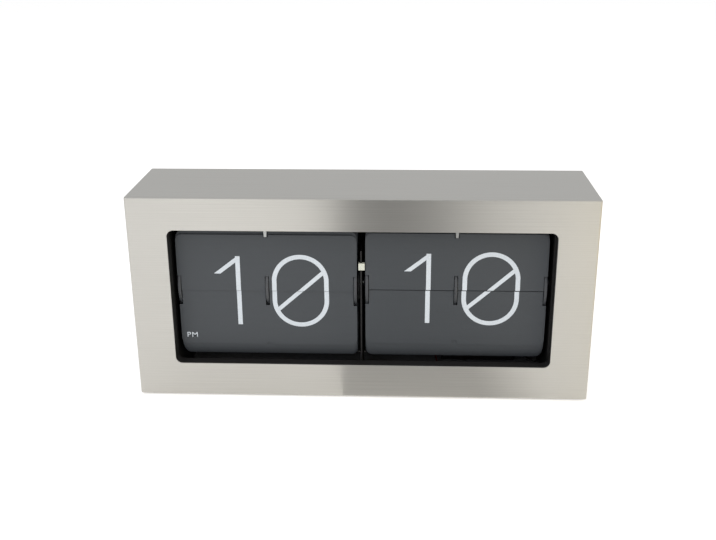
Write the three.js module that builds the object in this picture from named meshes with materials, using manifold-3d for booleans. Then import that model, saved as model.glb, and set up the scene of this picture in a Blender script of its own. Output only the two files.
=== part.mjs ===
// A large flip clock: a folded steel case with one wide window, two drums of split leaves that turn on one
// fixed axle behind it, and the battery movement that drives them. Millimetres, +Z up, the front faces -Y.
// The origin is the middle of the clock's footprint, on the surface that its feet stand on.

import * as THREE from "three";
import { mergeVertices } from "three/addons/utils/BufferGeometryUtils.js";
import Module from "manifold-3d";

const wasm = await Module();
wasm.setup();

// Case, folded from steel sheet
const CASE_WIDTH = 360;
const CASE_HEIGHT = 166;
const SHEET = 1.2;
const BEND_RADIUS = 1.5;

// Window in the front sheet, and the black bezel behind it
const WINDOW_SIDE_BORDER = 31;
const WINDOW_TOP_BORDER = 26.5;
const WINDOW_BOTTOM_BORDER = 27.9;
const WINDOW_CORNER_RADIUS = 5;
const BEZEL_WALL = 1.5;
const BEZEL_FLANGE = 7;
const BEZEL_TO_PLATE = 2.5;

// Back cover, set in from the rear edge of the case
const COVER_THICKNESS = 1.5;
const COVER_RECESS = 3;
const COVER_EDGE_GAP = 0.5;
const BLOCK_SIDE = 9;
const BLOCK_LENGTH = 10;

// Screws and feet
const SCREW_RADIUS = 1.5;
const SCREW_HEAD_RADIUS = 2.8;
const SCREW_HEAD_HEIGHT = 1.8;
const SCREW_SLOT = 0.8;
const BACK_SCREW_LENGTH = 9;
const FOOT_THICKNESS = 1.2;
const FOOT_RADIUS = 7;
const FOOT_INSET_X = 23;
const FOOT_INSET_Y = 16.5;

// Clearances
const SEAT_GAP = 0.3;
const SHAFT_GAP = 0.25;
const RUN_GAP = 0.4;
const GEAR_SIDE_GAP = 1.6;

// Chassis sheet
const TRAY_THICKNESS = 1.2;
const TRAY_SIDE_GAP = 12.8;
const TRAY_FRONT_GAP = 5.5;
const TRAY_BACK_GAP = 3.5;
const TRAY_LIP = 6;
const END_PLATE = 2;
const FLANGE_WIDTH = 14.5;
const FLANGE_THICKNESS = 1.5;
const PLATE_FRONT_SETBACK = 1.7;
const PLATE_BACK_GAP = 3;
const CENTRE_PLATE = 1.2;
const CENTRE_PLATE_DEPTH = 40;
const CENTRE_PLATE_RISE = 32;
const CENTRE_PLATE_SETBACK = 0.8;
const CLIP_WIDTH = 4.95;
const CLIP_HEIGHT = 5.6;
const CLIP_RISE = 16.9;
const CLIP_GRIP = 1.2;
const TOP_BAR_THICKNESS = 1.5;
const TOP_BAR_DEPTH = 15;
const TOP_BAR_LIP = 4;
const TOP_BAR_TO_FAN = 7;

// Drums
const DRUM_CENTRE_ABOVE_WINDOW_CENTRE = 3.5;
const MOVEMENT_SHIFT = -0.55;
const DRUM_GAP = 6.7;
const LEAF_TO_WINDOW_EDGE = 3.25;
const LEAF_PLANE_DEPTH = 13.7;
const FAN_TO_COVER = 1.3;
const DISC_RADIUS = 20.5;
const DISC_THICKNESS = 2.4;
const DISC_SIDES = 24;
const GROOVE_DEPTH = 1.4;
const GROOVE_WALL = 0.8;
const GROOVE_WIDTH = 3.4;
const AXLE_RADIUS = 1.5;
const CLIP_RING = 0.8;
const HUB_RADIUS = 4.5;
const HUB_NECK_RADIUS = 3.2;

// Leaves
const LEAF_LENGTH = 45.3;
const LEAF_THICKNESS = 0.4;
const LEAF_CORNER_RADIUS = 5;
const LEAF_LAYER = 0.65;
const PIN_INSET = 2.9;
const PIN_RADIUS = 0.35;
const LINK_RING_WIDTH = 0.8;
const HOOK_TIP_RISE = 43.3;
const HOOK_TIP_WIDTH = 2;
const HOOK_ROOT_WIDTH = 3.2;
const HOOK_THICKNESS = 0.8;
const HOOK_FOOT = 6;

// The two drums: leaf count, the angle of the upper leaf's pin above the drum's middle, how far the upper
// leaf leans back, and how far a leaf reaches past its pin
const HOUR = { name: "hour", side: -1, leaves: 48, pinAngle: -2, lean: 1.5, heel: 1 };
const MINUTE = { name: "minute", side: 1, leaves: 60, pinAngle: 3.1, lean: 3.1, heel: 0.6 };

// Gears between the drums: 8 to 32 and 8 to 48 teeth make 24 turns into one, both pairs on one centre distance
const CARRY_CENTRES = 16;
const PINION_TEETH = 8;
const CARRY_WHEEL_TEETH = 32;
const HOUR_GEAR_TEETH = 48;
const CARRY_SIDE_GAP = 0.75;

// Drive gears, in the bay at the right
const DRIVE_MODULE = 1;
const MINUTE_GEAR_TEETH = 36;
const SETTING_GEAR_TEETH = 27;
const DRIVE_GEAR_WIDTH = 2;
const ARBOR_ANGLE = -105;
const ARBOR_RADIUS = 1;
const WHEEL_MODULE = 0.75;
const WHEEL_TEETH = 32;
const WHEEL_WIDTH = 1.6;
const MOTOR_RADIUS = 12;
const MOTOR_LENGTH = 9.5;
const MOTOR_SHAFT_RADIUS = 0.75;
const BRACKET_THICKNESS = 1.5;
const BRACKET_POST_RADIUS = 2.5;
const KNURL_WIDTH = 8;
const KNURL_COUNT = 30;
const KNURL_DEPTH = 0.6;
const KNURL_PROUD = 2.2;

// Battery, its box, and the board
const CELL_RADIUS = 13.1;
const CELL_LENGTH = 48.5;
const CELL_NUB_RADIUS = 3.4;
const CELL_NUB_LENGTH = 1.5;
const SPRING_SPACE = 5;
const HOLDER_WALL = 1.5;
const HOLDER_TO_PLATE = 22;
const STRIP_THICKNESS = 0.4;
const STRIP_WIDTH = 9;
const DOOR_THICKNESS = 1.5;
const DOOR_OVERLAP = 2;
const RAIL_WIDTH = 1.5;
const RAIL_LIP = 0.7;
const BOARD_THICKNESS = 1.6;
const BOARD_SIZE = [30, 26];
const BOARD_STANDOFF = 2;
const LEAD_RADIUS = 0.7;
const LEAD_HOLE_Y = 6;
const LEAD_HOLE_RISE = 5.5;
const LEAD_HOLE_RADIUS = 4;
const LEAD_DROP = 6;
const BOARD_GAP_Y = 13;
const BOARD_RISE = 10;

// Places that follow from the sizes above, in the clock's frame
const caseBottom = FOOT_THICKNESS + SEAT_GAP;
const caseTop = caseBottom + CASE_HEIGHT;
const floorTop = caseBottom + SHEET;
const trayTop = floorTop + SEAT_GAP + TRAY_THICKNESS;
const plateFoot = trayTop + SEAT_GAP;
const sideInner = CASE_WIDTH / 2 - SHEET;
const windowWidth = CASE_WIDTH - 2 * WINDOW_SIDE_BORDER;
const windowHeight = CASE_HEIGHT - WINDOW_TOP_BORDER - WINDOW_BOTTOM_BORDER;
const windowCentreZ = caseBottom + WINDOW_BOTTOM_BORDER + windowHeight / 2;

const leafWidth = (windowWidth - DRUM_GAP) / 2 - LEAF_TO_WINDOW_EDGE;
const packPinRadius = DISC_RADIUS - PIN_INSET;
const lowerPinRadius = packPinRadius + LEAF_LAYER;
const upperPinRadius = lowerPinRadius + LEAF_LAYER;
const fanRadius = Math.hypot(packPinRadius, LEAF_LENGTH);
const notchLength = RUN_GAP + Math.sqrt(DISC_RADIUS ** 2 - (packPinRadius - LEAF_THICKNESS / 2) ** 2);

const caseDepth =
  LEAF_PLANE_DEPTH + upperPinRadius + fanRadius + FAN_TO_COVER + COVER_THICKNESS + COVER_RECESS;
const frontY = -caseDepth / 2;
const backY = caseDepth / 2;
const coverOuter = backY - COVER_RECESS;
const coverInner = coverOuter - COVER_THICKNESS;
const axisY = frontY + LEAF_PLANE_DEPTH + upperPinRadius;
const axisZ = windowCentreZ + DRUM_CENTRE_ABOVE_WINDOW_CENTRE;

// Places in the movement's frame, whose origin is on the drum axis, midway between the drums
const drumEnd = DRUM_GAP / 2 + leafWidth;
const plateInner = drumEnd + LEAF_TO_WINDOW_EDGE;
const plateOuter = plateInner + END_PLATE;
const plateFront = -(upperPinRadius + PLATE_FRONT_SETBACK);
const plateBack = coverInner - PLATE_BACK_GAP - axisY;
const topBarZ = fanRadius + TOP_BAR_TO_FAN;
const trayTopBelowAxis = trayTop - axisZ;
const plateFootBelowAxis = plateFoot - axisZ;

const driveGearX = plateOuter + GEAR_SIDE_GAP;
const wheelX = driveGearX + DRIVE_GEAR_WIDTH + GEAR_SIDE_GAP;
const motorX = wheelX + WHEEL_WIDTH + RUN_GAP * 2;
const bracketX = motorX + MOTOR_LENGTH + SEAT_GAP;
const bracketOuter = bracketX + BRACKET_THICKNESS;
const arborCentres = (DRIVE_MODULE * (MINUTE_GEAR_TEETH + PINION_TEETH)) / 2;
const arborY = arborCentres * Math.cos(THREE.MathUtils.degToRad(ARBOR_ANGLE));
const arborZ = arborCentres * Math.sin(THREE.MathUtils.degToRad(ARBOR_ANGLE));
const motorZ = arborZ - (WHEEL_MODULE * (WHEEL_TEETH + PINION_TEETH)) / 2;
const settingY = (DRIVE_MODULE * (MINUTE_GEAR_TEETH + SETTING_GEAR_TEETH)) / 2;
const knurlX = driveGearX + DRIVE_GEAR_WIDTH + RUN_GAP * 2;
const knurlRadius = coverOuter + KNURL_PROUD - axisY - settingY;

const carryModuleIn = (2 * CARRY_CENTRES) / (PINION_TEETH + CARRY_WHEEL_TEETH);
const carryModuleOut = (2 * CARRY_CENTRES) / (PINION_TEETH + HOUR_GEAR_TEETH);
const carryInner = CENTRE_PLATE / 2 + CARRY_SIDE_GAP;
const carryOuter = DRUM_GAP / 2 - RUN_GAP;
const carryHubRadius = (PINION_TEETH / 2 + 1) * carryModuleOut;

const cellCentreZ = plateFoot + HOLDER_WALL + SEAT_GAP + CELL_RADIUS;
const holderBack = coverInner - SEAT_GAP;
const cellCentreY = holderBack - SEAT_GAP - CELL_RADIUS;
const holderRight = MOVEMENT_SHIFT + plateInner - HOLDER_TO_PLATE;
const pocketRight = holderRight - HOLDER_WALL;
const cellSpace = CELL_LENGTH + CELL_NUB_LENGTH + SPRING_SPACE + 2 * STRIP_THICKNESS + 4 * SEAT_GAP;
const pocketLeft = pocketRight - cellSpace;
const holderLeft = pocketLeft - HOLDER_WALL;
const pocketRadius = CELL_RADIUS + SEAT_GAP;
const leadZ = -LEAD_DROP;
const boardPlace = [0, BOARD_GAP_Y, trayTopBelowAxis + BOARD_RISE];
const doorCentreX = (pocketLeft + pocketRight) / 2;
const doorHalfWidth = (pocketRight - pocketLeft) / 2 + DOOR_OVERLAP;
const doorHalfHeight = pocketRadius + DOOR_OVERLAP;

// Shapes, each as a closed solid

function solidOf(geometry) {
  geometry.deleteAttribute("normal");
  geometry.deleteAttribute("uv");
  const merged = mergeVertices(geometry, 1e-4);
  const vertProperties = merged.attributes.position.array;
  const triVerts = new Uint32Array(merged.index.array);
  return new wasm.Manifold(new wasm.Mesh({ numProp: 3, vertProperties, triVerts }));
}

function box([x0, y0, z0], [x1, y1, z1]) {
  const geometry = new THREE.BoxGeometry(x1 - x0, y1 - y0, z1 - z0);
  geometry.translate((x0 + x1) / 2, (y0 + y1) / 2, (z0 + z1) / 2);
  return solidOf(geometry);
}

function shapeOf(outline, holes = []) {
  const shape = new THREE.Shape(outline.map(([a, b]) => new THREE.Vector2(a, b)));
  shape.holes = holes.map((hole) => new THREE.Path(hole.map(([a, b]) => new THREE.Vector2(a, b))));
  return shape;
}

// An outline in (y, z), drawn out along X
function extrudeX(outline, x0, x1, holes) {
  const geometry = new THREE.ExtrudeGeometry(shapeOf(outline, holes), { depth: x1 - x0, bevelEnabled: false });
  const turn = new THREE.Matrix4().makeBasis(
    new THREE.Vector3(0, 1, 0),
    new THREE.Vector3(0, 0, 1),
    new THREE.Vector3(1, 0, 0),
  );
  geometry.applyMatrix4(turn);
  geometry.translate(x0, 0, 0);
  return solidOf(geometry);
}

// An outline in (x, z), drawn out along Y
function extrudeY(outline, y0, y1, holes) {
  const geometry = new THREE.ExtrudeGeometry(shapeOf(outline, holes), { depth: y1 - y0, bevelEnabled: false });
  geometry.rotateX(Math.PI / 2);
  geometry.translate(0, y1, 0);
  return solidOf(geometry);
}

// An outline in (x, y), drawn out along Z
function extrudeZ(outline, z0, z1, holes) {
  const geometry = new THREE.ExtrudeGeometry(shapeOf(outline, holes), { depth: z1 - z0, bevelEnabled: false });
  geometry.translate(0, 0, z0);
  return solidOf(geometry);
}

// A profile of (radius, x) points, turned about the X axis
function turnX(profile, sides) {
  const points = profile.map(([radius, x]) => new THREE.Vector2(radius, x));
  const geometry = new THREE.LatheGeometry([...points, points[0]], sides);
  geometry.rotateZ(-Math.PI / 2);
  return solidOf(geometry);
}

function rodX(radius, x0, x1, y = 0, z = 0, sides = 16) {
  const geometry = new THREE.CylinderGeometry(radius, radius, x1 - x0, sides);
  geometry.rotateZ(-Math.PI / 2);
  geometry.translate((x0 + x1) / 2, y, z);
  return solidOf(geometry);
}

function rodY(radius, y0, y1, x = 0, z = 0, sides = 16) {
  const geometry = new THREE.CylinderGeometry(radius, radius, y1 - y0, sides);
  geometry.translate(x, (y0 + y1) / 2, z);
  return solidOf(geometry);
}

function rodZ(radius, z0, z1, x = 0, y = 0, sides = 16) {
  const geometry = new THREE.CylinderGeometry(radius, radius, z1 - z0, sides);
  geometry.rotateX(Math.PI / 2);
  geometry.translate(x, y, (z0 + z1) / 2);
  return solidOf(geometry);
}

function ringX(outer, inner, x0, x1, sides = 16) {
  return turnX([[inner, x0], [outer, x0], [outer, x1], [inner, x1]], sides);
}

function arc(centreA, centreB, radius, fromDegrees, toDegrees, steps) {
  return Array.from({ length: steps + 1 }, (_, i) => {
    const angle = THREE.MathUtils.degToRad(fromDegrees + ((toDegrees - fromDegrees) * i) / steps);
    return [centreA + radius * Math.cos(angle), centreB + radius * Math.sin(angle)];
  });
}

function roundedRectangle(width, height, radius, centreB = 0, steps = 4) {
  const a = width / 2 - radius;
  const b = height / 2 - radius;
  return [
    ...arc(a, centreB - b, radius, -90, 0, steps),
    ...arc(a, centreB + b, radius, 0, 90, steps),
    ...arc(-a, centreB + b, radius, 90, 180, steps),
    ...arc(-a, centreB - b, radius, 180, 270, steps),
  ];
}

// Teeth with straight flanks, thinned for backlash. The first tooth points along the phase, in degrees from +Y.
function gear(teeth, module, x0, x1, phase = 0) {
  const pitchRadius = (teeth * module) / 2;
  const tooth = 360 / teeth;
  const corners = [
    [pitchRadius - module * 1.1, -0.3],
    [pitchRadius + module * 0.75, -0.12],
    [pitchRadius + module * 0.75, 0.12],
    [pitchRadius - module * 1.1, 0.3],
  ];
  const outline = [];
  for (let i = 0; i < teeth; i++) {
    for (const [radius, share] of corners) {
      const angle = THREE.MathUtils.degToRad(phase + (i + share) * tooth);
      outline.push([radius * Math.cos(angle), radius * Math.sin(angle)]);
    }
  }
  return extrudeX(outline, x0, x1);
}

// The phase that puts a gap of the driven gear opposite a tooth of the driver on the line between their centres
function meshPhase(driverTeeth, driverPhase, drivenTeeth, lineAngle) {
  const driverTurn = (lineAngle - driverPhase) / (360 / driverTeeth);
  const drivenTurn = 0.5 - driverTurn;
  return lineAngle + 180 - drivenTurn * (360 / drivenTeeth);
}

function joined(solids) {
  return solids.reduce((whole, solid) => whole.add(solid));
}

// Finishes

function finish(color, roughness, metalness = 0) {
  return new THREE.MeshStandardMaterial({ color, roughness, metalness });
}

const brushedSteel = () => finish(0xc8c7c1, 0.38, 0.9);
const zincSteel = () => finish(0xaeb0b2, 0.45, 0.8);
const brass = () => finish(0xb89a55, 0.4, 0.85);
const blackSteel = () => finish(0x1c1c1c, 0.5, 0.3);
const blackPlastic = () => finish(0x1c1b1a, 0.6);
const leafPlastic = () => finish(0x55585c, 0.5);
const greyPlastic = () => finish(0x3a3b3d, 0.55);
const creamNylon = () => finish(0xe4e6d7, 0.5);
const rubber = () => finish(0x202020, 0.9);

// Pieces

const clock = new THREE.Group();
const movement = new THREE.Group();
movement.position.set(MOVEMENT_SHIFT, axisY, axisZ);
clock.add(movement);

function addPiece(parent, name, solid, material, place = [0, 0, 0]) {
  const { vertProperties, triVerts } = solid.getMesh();
  const geometry = new THREE.BufferGeometry();
  geometry.setAttribute("position", new THREE.BufferAttribute(vertProperties, 3));
  geometry.setIndex(new THREE.BufferAttribute(triVerts, 1));
  const mesh = new THREE.Mesh(geometry, material);
  mesh.name = name;
  mesh.position.set(...place);
  parent.add(mesh);
}

const footPlaces = [-1, 1].flatMap((side) =>
  [-1, 1].map((end) => [side * (CASE_WIDTH / 2 - FOOT_INSET_X), end * (caseDepth / 2 - FOOT_INSET_Y)]),
);
const blockMiddleX = sideInner - BLOCK_SIDE / 2;
const blockMiddleZ = CASE_HEIGHT / 2 - SHEET - BLOCK_SIDE / 2;
const caseMiddleZ = caseBottom + CASE_HEIGHT / 2;
const blockPlaces = [-1, 1].flatMap((side) =>
  [-1, 1].map((end) => [side * blockMiddleX, caseMiddleZ + end * blockMiddleZ]),
);

// A box with rounded edges on all sides but the back, which is cut square
function caseBlock(width, height, radius, y0, y1) {
  const outline = shapeOf(roundedRectangle(width, height, radius + 0.5, 0, 3));
  const geometry = new THREE.ExtrudeGeometry(outline, {
    depth: y1 - y0,
    bevelThickness: radius,
    bevelSize: radius,
    bevelOffset: -radius,
    bevelSegments: 2,
  });
  geometry.rotateX(Math.PI / 2);
  geometry.translate(0, y1 + radius, caseMiddleZ);
  const cutter = box([-width, y1, -CASE_HEIGHT], [width, y1 + CASE_HEIGHT, CASE_HEIGHT * 2]);
  return solidOf(geometry).subtract(cutter);
}

function caseShell() {
  const outer = caseBlock(CASE_WIDTH, CASE_HEIGHT, BEND_RADIUS, frontY, backY);
  const innerRadius = Math.max(BEND_RADIUS - SHEET, 0.2);
  const inner = caseBlock(
    CASE_WIDTH - 2 * SHEET,
    CASE_HEIGHT - 2 * SHEET,
    innerRadius,
    frontY + SHEET,
    backY + SHEET,
  );
  const windowOutline = roundedRectangle(windowWidth, windowHeight, WINDOW_CORNER_RADIUS, windowCentreZ);
  const window = extrudeY(windowOutline, frontY - SHEET, frontY + SHEET * 2);
  let shell = outer.subtract(inner).subtract(window);
  for (const [x, z] of blockPlaces) {
    const half = BLOCK_SIDE / 2;
    const rear = coverInner - SEAT_GAP;
    const block = box([x - half, rear - BLOCK_LENGTH, z - half], [x + half, rear, z + half]);
    // Each block reaches a little into the two walls that it is welded to
    const weld = SHEET / 2;
    const cornerX = Math.sign(x) * weld;
    const cornerZ = Math.sign(z - caseMiddleZ) * weld;
    const seated = block.add(
      box(
        [x - half + cornerX, rear - BLOCK_LENGTH, z - half + cornerZ],
        [x + half + cornerX, rear, z + half + cornerZ],
      ),
    );
    const bore = rodY(SCREW_RADIUS + SHAFT_GAP, rear - BACK_SCREW_LENGTH, rear + 1, x, z, 12);
    shell = shell.add(seated).subtract(bore);
  }
  for (const [x, y] of footPlaces) {
    shell = shell.subtract(rodZ(SCREW_RADIUS + SHAFT_GAP, caseBottom - 1, floorTop + 1, x, y, 12));
  }
  return shell;
}

function windowBezel() {
  const flangeFront = frontY + SHEET + SEAT_GAP;
  const flangeBack = flangeFront + BEZEL_WALL;
  const collarBack = axisY + plateFront - BEZEL_TO_PLATE;
  const opening = roundedRectangle(windowWidth, windowHeight, WINDOW_CORNER_RADIUS, windowCentreZ);
  const collarOuter = roundedRectangle(
    windowWidth + 2 * BEZEL_WALL,
    windowHeight + 2 * BEZEL_WALL,
    WINDOW_CORNER_RADIUS + BEZEL_WALL,
    windowCentreZ,
  );
  const flangeOuter = roundedRectangle(
    windowWidth + 2 * BEZEL_FLANGE,
    windowHeight + 2 * BEZEL_FLANGE,
    WINDOW_CORNER_RADIUS,
    windowCentreZ,
  );
  const flange = extrudeY(flangeOuter, flangeFront, flangeBack);
  const collar = extrudeY(collarOuter, flangeFront, collarBack);
  return flange.add(collar).subtract(extrudeY(opening, flangeFront - 1, collarBack + 1));
}

function backCover() {
  const halfWidth = sideInner - COVER_EDGE_GAP;
  const halfHeight = CASE_HEIGHT / 2 - SHEET - COVER_EDGE_GAP;
  const sheet = box(
    [-halfWidth, coverInner, caseMiddleZ - halfHeight],
    [halfWidth, coverOuter, caseMiddleZ + halfHeight],
  );
  const cellOpening = box(
    [pocketLeft, coverInner - 1, cellCentreZ - pocketRadius],
    [pocketRight, coverOuter + 1, cellCentreZ + pocketRadius],
  );
  const slotReach = Math.sqrt(knurlRadius ** 2 - (coverInner - axisY - settingY) ** 2) + GEAR_SIDE_GAP;
  const knurlLeft = MOVEMENT_SHIFT + knurlX;
  const wheelSlot = box(
    [knurlLeft - GEAR_SIDE_GAP / 2, coverInner - 1, axisZ - slotReach],
    [knurlLeft + KNURL_WIDTH + GEAR_SIDE_GAP / 2, coverOuter + 1, axisZ + slotReach],
  );
  let cover = sheet.subtract(cellOpening).subtract(wheelSlot);
  for (const [x, z] of blockPlaces) {
    cover = cover.subtract(rodY(SCREW_RADIUS + SHAFT_GAP, coverInner - 1, coverOuter + 1, x, z, 12));
  }
  // Two rails on the outside, whose lips hold the edges of the sliding door
  const doorOuter = coverOuter + SEAT_GAP + DOOR_THICKNESS;
  const railFoot = coverInner + COVER_THICKNESS / 2;
  const lipInner = doorOuter + SEAT_GAP;
  for (const side of [-1, 1]) {
    const near = doorCentreX + side * (doorHalfWidth + RUN_GAP);
    const far = near + side * RAIL_WIDTH;
    const lip = near - side * (RUN_GAP + DOOR_OVERLAP / 2);
    const low = cellCentreZ - doorHalfHeight;
    const high = cellCentreZ + doorHalfHeight + DOOR_OVERLAP;
    const rail = box(
      [Math.min(near, far), railFoot, low],
      [Math.max(near, far), lipInner + RAIL_LIP, high],
    );
    const railLip = box(
      [Math.min(lip, far), lipInner, low],
      [Math.max(lip, far), lipInner + RAIL_LIP, high],
    );
    cover = cover.add(rail).add(railLip);
  }
  return cover;
}

function batteryDoor() {
  const inner = coverOuter + SEAT_GAP;
  const plate = box(
    [doorCentreX - doorHalfWidth, inner, cellCentreZ - doorHalfHeight],
    [doorCentreX + doorHalfWidth, inner + DOOR_THICKNESS, cellCentreZ + doorHalfHeight],
  );
  // Grip ribs near the top edge
  const ribs = [0, 1, 2].map((i) => {
    const z = cellCentreZ + doorHalfHeight - DOOR_OVERLAP - 2 * DOOR_THICKNESS * i;
    return box(
      [doorCentreX - doorHalfWidth / 3, inner + DOOR_THICKNESS / 2, z - DOOR_THICKNESS],
      [doorCentreX + doorHalfWidth / 3, inner + DOOR_THICKNESS + RAIL_LIP, z],
    );
  });
  return joined([plate, ...ribs]);
}

// A screw along +Z with a cross cut in its head, its head's underside at z = 0
function screw(length) {
  const head = rodZ(SCREW_HEAD_RADIUS, 0, SCREW_HEAD_HEIGHT, 0, 0, 12);
  const shank = rodZ(SCREW_RADIUS, -length, SCREW_HEAD_HEIGHT / 2, 0, 0, 8);
  const reach = SCREW_HEAD_RADIUS * 0.62;
  const depth = SCREW_HEAD_HEIGHT / 2;
  const half = SCREW_SLOT / 2;
  const slotA = box([-reach, -half, depth], [reach, half, SCREW_HEAD_HEIGHT + 1]);
  const slotB = box([-half, -reach, depth], [half, reach, SCREW_HEAD_HEIGHT + 1]);
  return head.add(shank).subtract(slotA).subtract(slotB);
}

// A rubber pad under the case, with a blind hole for the end of its screw
function foot() {
  return rodZ(FOOT_RADIUS, 0, FOOT_THICKNESS, 0, 0, 24).subtract(
    rodZ(SCREW_RADIUS + SHAFT_GAP, FOOT_THICKNESS / 2, FOOT_THICKNESS + 1, 0, 0, 12),
  );
}

function chassisTray() {
  const halfWidth = sideInner - TRAY_SIDE_GAP;
  const front = frontY + SHEET + TRAY_FRONT_GAP;
  const back = coverInner - TRAY_BACK_GAP;
  const bottom = trayTop - TRAY_THICKNESS;
  const outline = [
    [front, bottom],
    [back, bottom],
    [back, trayTop],
    [front + TRAY_THICKNESS, trayTop],
    [front + TRAY_THICKNESS, trayTop + TRAY_LIP],
    [front, trayTop + TRAY_LIP],
  ];
  let tray = extrudeX(outline, -halfWidth, halfWidth);
  for (const [x, y] of footPlaces) {
    tray = tray.subtract(rodZ(SCREW_RADIUS + SHAFT_GAP, bottom - 1, trayTop + 1, x, y, 12));
  }
  return tray;
}

// An upright plate that carries one end of the axle, with its foot flange folded outwards over the tray
function endPlate(side, holes) {
  const top = topBarZ + TOP_BAR_THICKNESS + SEAT_GAP;
  const corner = 12;
  const outline = [
    [plateFront, plateFootBelowAxis],
    [plateBack, plateFootBelowAxis],
    [plateBack, top - corner],
    [plateBack - corner, top],
    [plateFront, top],
  ];
  const [x0, x1] = side > 0 ? [plateInner, plateOuter] : [-plateOuter, -plateInner];
  const upright = extrudeX(outline, x0, x1, holes);
  const flangeEnd = side * (plateOuter + FLANGE_WIDTH);
  const flange = box(
    [Math.min(x0, flangeEnd), plateFront, plateFootBelowAxis],
    [Math.max(x1, flangeEnd), plateBack, plateFootBelowAxis + FLANGE_THICKNESS],
  );
  let plate = upright.add(flange);
  for (const [x, y] of footPlaces.filter(([footX]) => footX * side > 0)) {
    const low = plateFootBelowAxis - 1;
    const high = plateFootBelowAxis + FLANGE_THICKNESS + 1;
    plate = plate.subtract(rodZ(SCREW_RADIUS + SHAFT_GAP, low, high, x - MOVEMENT_SHIFT, y - axisY, 12));
  }
  return plate;
}

// The plate between the drums: it steadies the axle and is the bearing of the carry gear
function centrePlate() {
  const half = CENTRE_PLATE / 2;
  const front = -(upperPinRadius - CENTRE_PLATE_SETBACK);
  const back = front + CENTRE_PLATE_DEPTH;
  const outline = [
    [front, plateFootBelowAxis],
    [back, plateFootBelowAxis],
    [back, CENTRE_PLATE_RISE],
    [front, CENTRE_PLATE_RISE],
  ];
  const holes = [
    arc(0, 0, AXLE_RADIUS + SHAFT_GAP, 0, 345, 23),
    arc(CARRY_CENTRES, 0, carryHubRadius + SHAFT_GAP, 0, 345, 23),
  ];
  const upright = extrudeX(outline, -half, half, holes);
  const flange = box(
    [-half, front, plateFootBelowAxis],
    [FLANGE_WIDTH, back, plateFootBelowAxis + FLANGE_THICKNESS],
  );
  return upright.add(flange);
}

// A nylon block with a slit, pushed onto the front edge of the centre plate
function centreClip() {
  const right = DRUM_GAP / 2 - RUN_GAP;
  const left = right - CLIP_WIDTH;
  const slit = CENTRE_PLATE / 2 + SEAT_GAP;
  const edge = -(upperPinRadius - CENTRE_PLATE_SETBACK);
  const outline = [
    [left, plateFront],
    [right, plateFront],
    [right, edge + CLIP_GRIP],
    [slit, edge + CLIP_GRIP],
    [slit, edge - SEAT_GAP],
    [-slit, edge - SEAT_GAP],
    [-slit, edge + CLIP_GRIP],
    [left, edge + CLIP_GRIP],
  ];
  return extrudeZ(outline, CLIP_RISE, CLIP_RISE + CLIP_HEIGHT);
}

// A folded strip above the fan of leaves that ties the end plates together and carries the two hooks
function topBar() {
  const front = -upperPinRadius;
  const back = front + TOP_BAR_DEPTH;
  const lip = back - TOP_BAR_THICKNESS;
  const top = topBarZ + TOP_BAR_THICKNESS;
  const low = topBarZ - TOP_BAR_LIP;
  const end = plateInner - SEAT_GAP;
  return extrudeX([[front, topBarZ], [lip, topBarZ], [lip, low], [back, low], [back, top], [front, top]], -end, end);
}

// Where a pin sits on a circle round the axle: angles count from the front, over the top, to the back
function pinPlace(radius, degrees) {
  const angle = THREE.MathUtils.degToRad(degrees);
  return [-radius * Math.cos(angle), radius * Math.sin(angle)];
}

// How far a drum's hook reaches below the upper leaf's free edge
function hookOverlap(drum) {
  const pinZ = pinPlace(upperPinRadius, drum.pinAngle)[1];
  return pinZ + LEAF_LENGTH * Math.cos(THREE.MathUtils.degToRad(drum.lean)) - HOOK_TIP_RISE;
}

// A leaf seen from the front, with its pin's axis at z = 0 and its free edge at the top. The notches at its ends
// and middle let the discs' rims through, and the small one at its free edge lets it slip past the hook.
function leafOutline(drum, shown) {
  const half = leafWidth / 2;
  const endNotch = half - DISC_THICKNESS - RUN_GAP;
  const middleNotch = DISC_THICKNESS / 2 + RUN_GAP;
  const reliefHalf = HOOK_ROOT_WIDTH / 2 + RUN_GAP;
  const reliefFloor = LEAF_LENGTH - hookOverlap(drum) - RUN_GAP;
  const relief = [
    [reliefHalf, LEAF_LENGTH],
    [reliefHalf, reliefFloor],
    [-reliefHalf, reliefFloor],
    [-reliefHalf, LEAF_LENGTH],
  ];
  const corner = LEAF_CORNER_RADIUS;
  const steps = shown ? 3 : 1;
  return [
    [-middleNotch, -drum.heel],
    [-middleNotch, notchLength],
    [middleNotch, notchLength],
    [middleNotch, -drum.heel],
    [endNotch, -drum.heel],
    [endNotch, notchLength],
    [half, notchLength],
    ...arc(half - corner, LEAF_LENGTH - corner, corner, 0, 90, steps),
    ...(shown ? relief : []),
    ...arc(corner - half, LEAF_LENGTH - corner, corner, 90, 180, steps),
    [-half, notchLength],
    [-endNotch, notchLength],
    [-endNotch, -drum.heel],
  ];
}

// A leaf whose pin is at (y, z) and which points upwards, leaning back by so many degrees
function leaf(drum, lean, [y, z], shown) {
  const outline = shapeOf(leafOutline(drum, shown));
  const geometry = new THREE.ExtrudeGeometry(outline, { depth: LEAF_THICKNESS, bevelEnabled: false });
  geometry.translate(0, 0, -LEAF_THICKNESS / 2);
  geometry.rotateX(Math.PI / 2 - THREE.MathUtils.degToRad(lean));
  geometry.translate(0, y, z);
  return solidOf(geometry);
}

// A leaf that is on show, with the two pins that turn in the outer discs' grooves
function shownLeaf(drum, lean, place) {
  const half = leafWidth / 2;
  const root = half - DISC_THICKNESS - RUN_GAP - 3 * PIN_RADIUS;
  const tip = half - DISC_THICKNESS + GROOVE_DEPTH - RUN_GAP;
  const plate = leaf(drum, lean, place, true);
  return joined([
    plate,
    rodX(PIN_RADIUS, root, tip, ...place, 8),
    rodX(PIN_RADIUS, -tip, -root, ...place, 8),
  ]);
}

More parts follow.
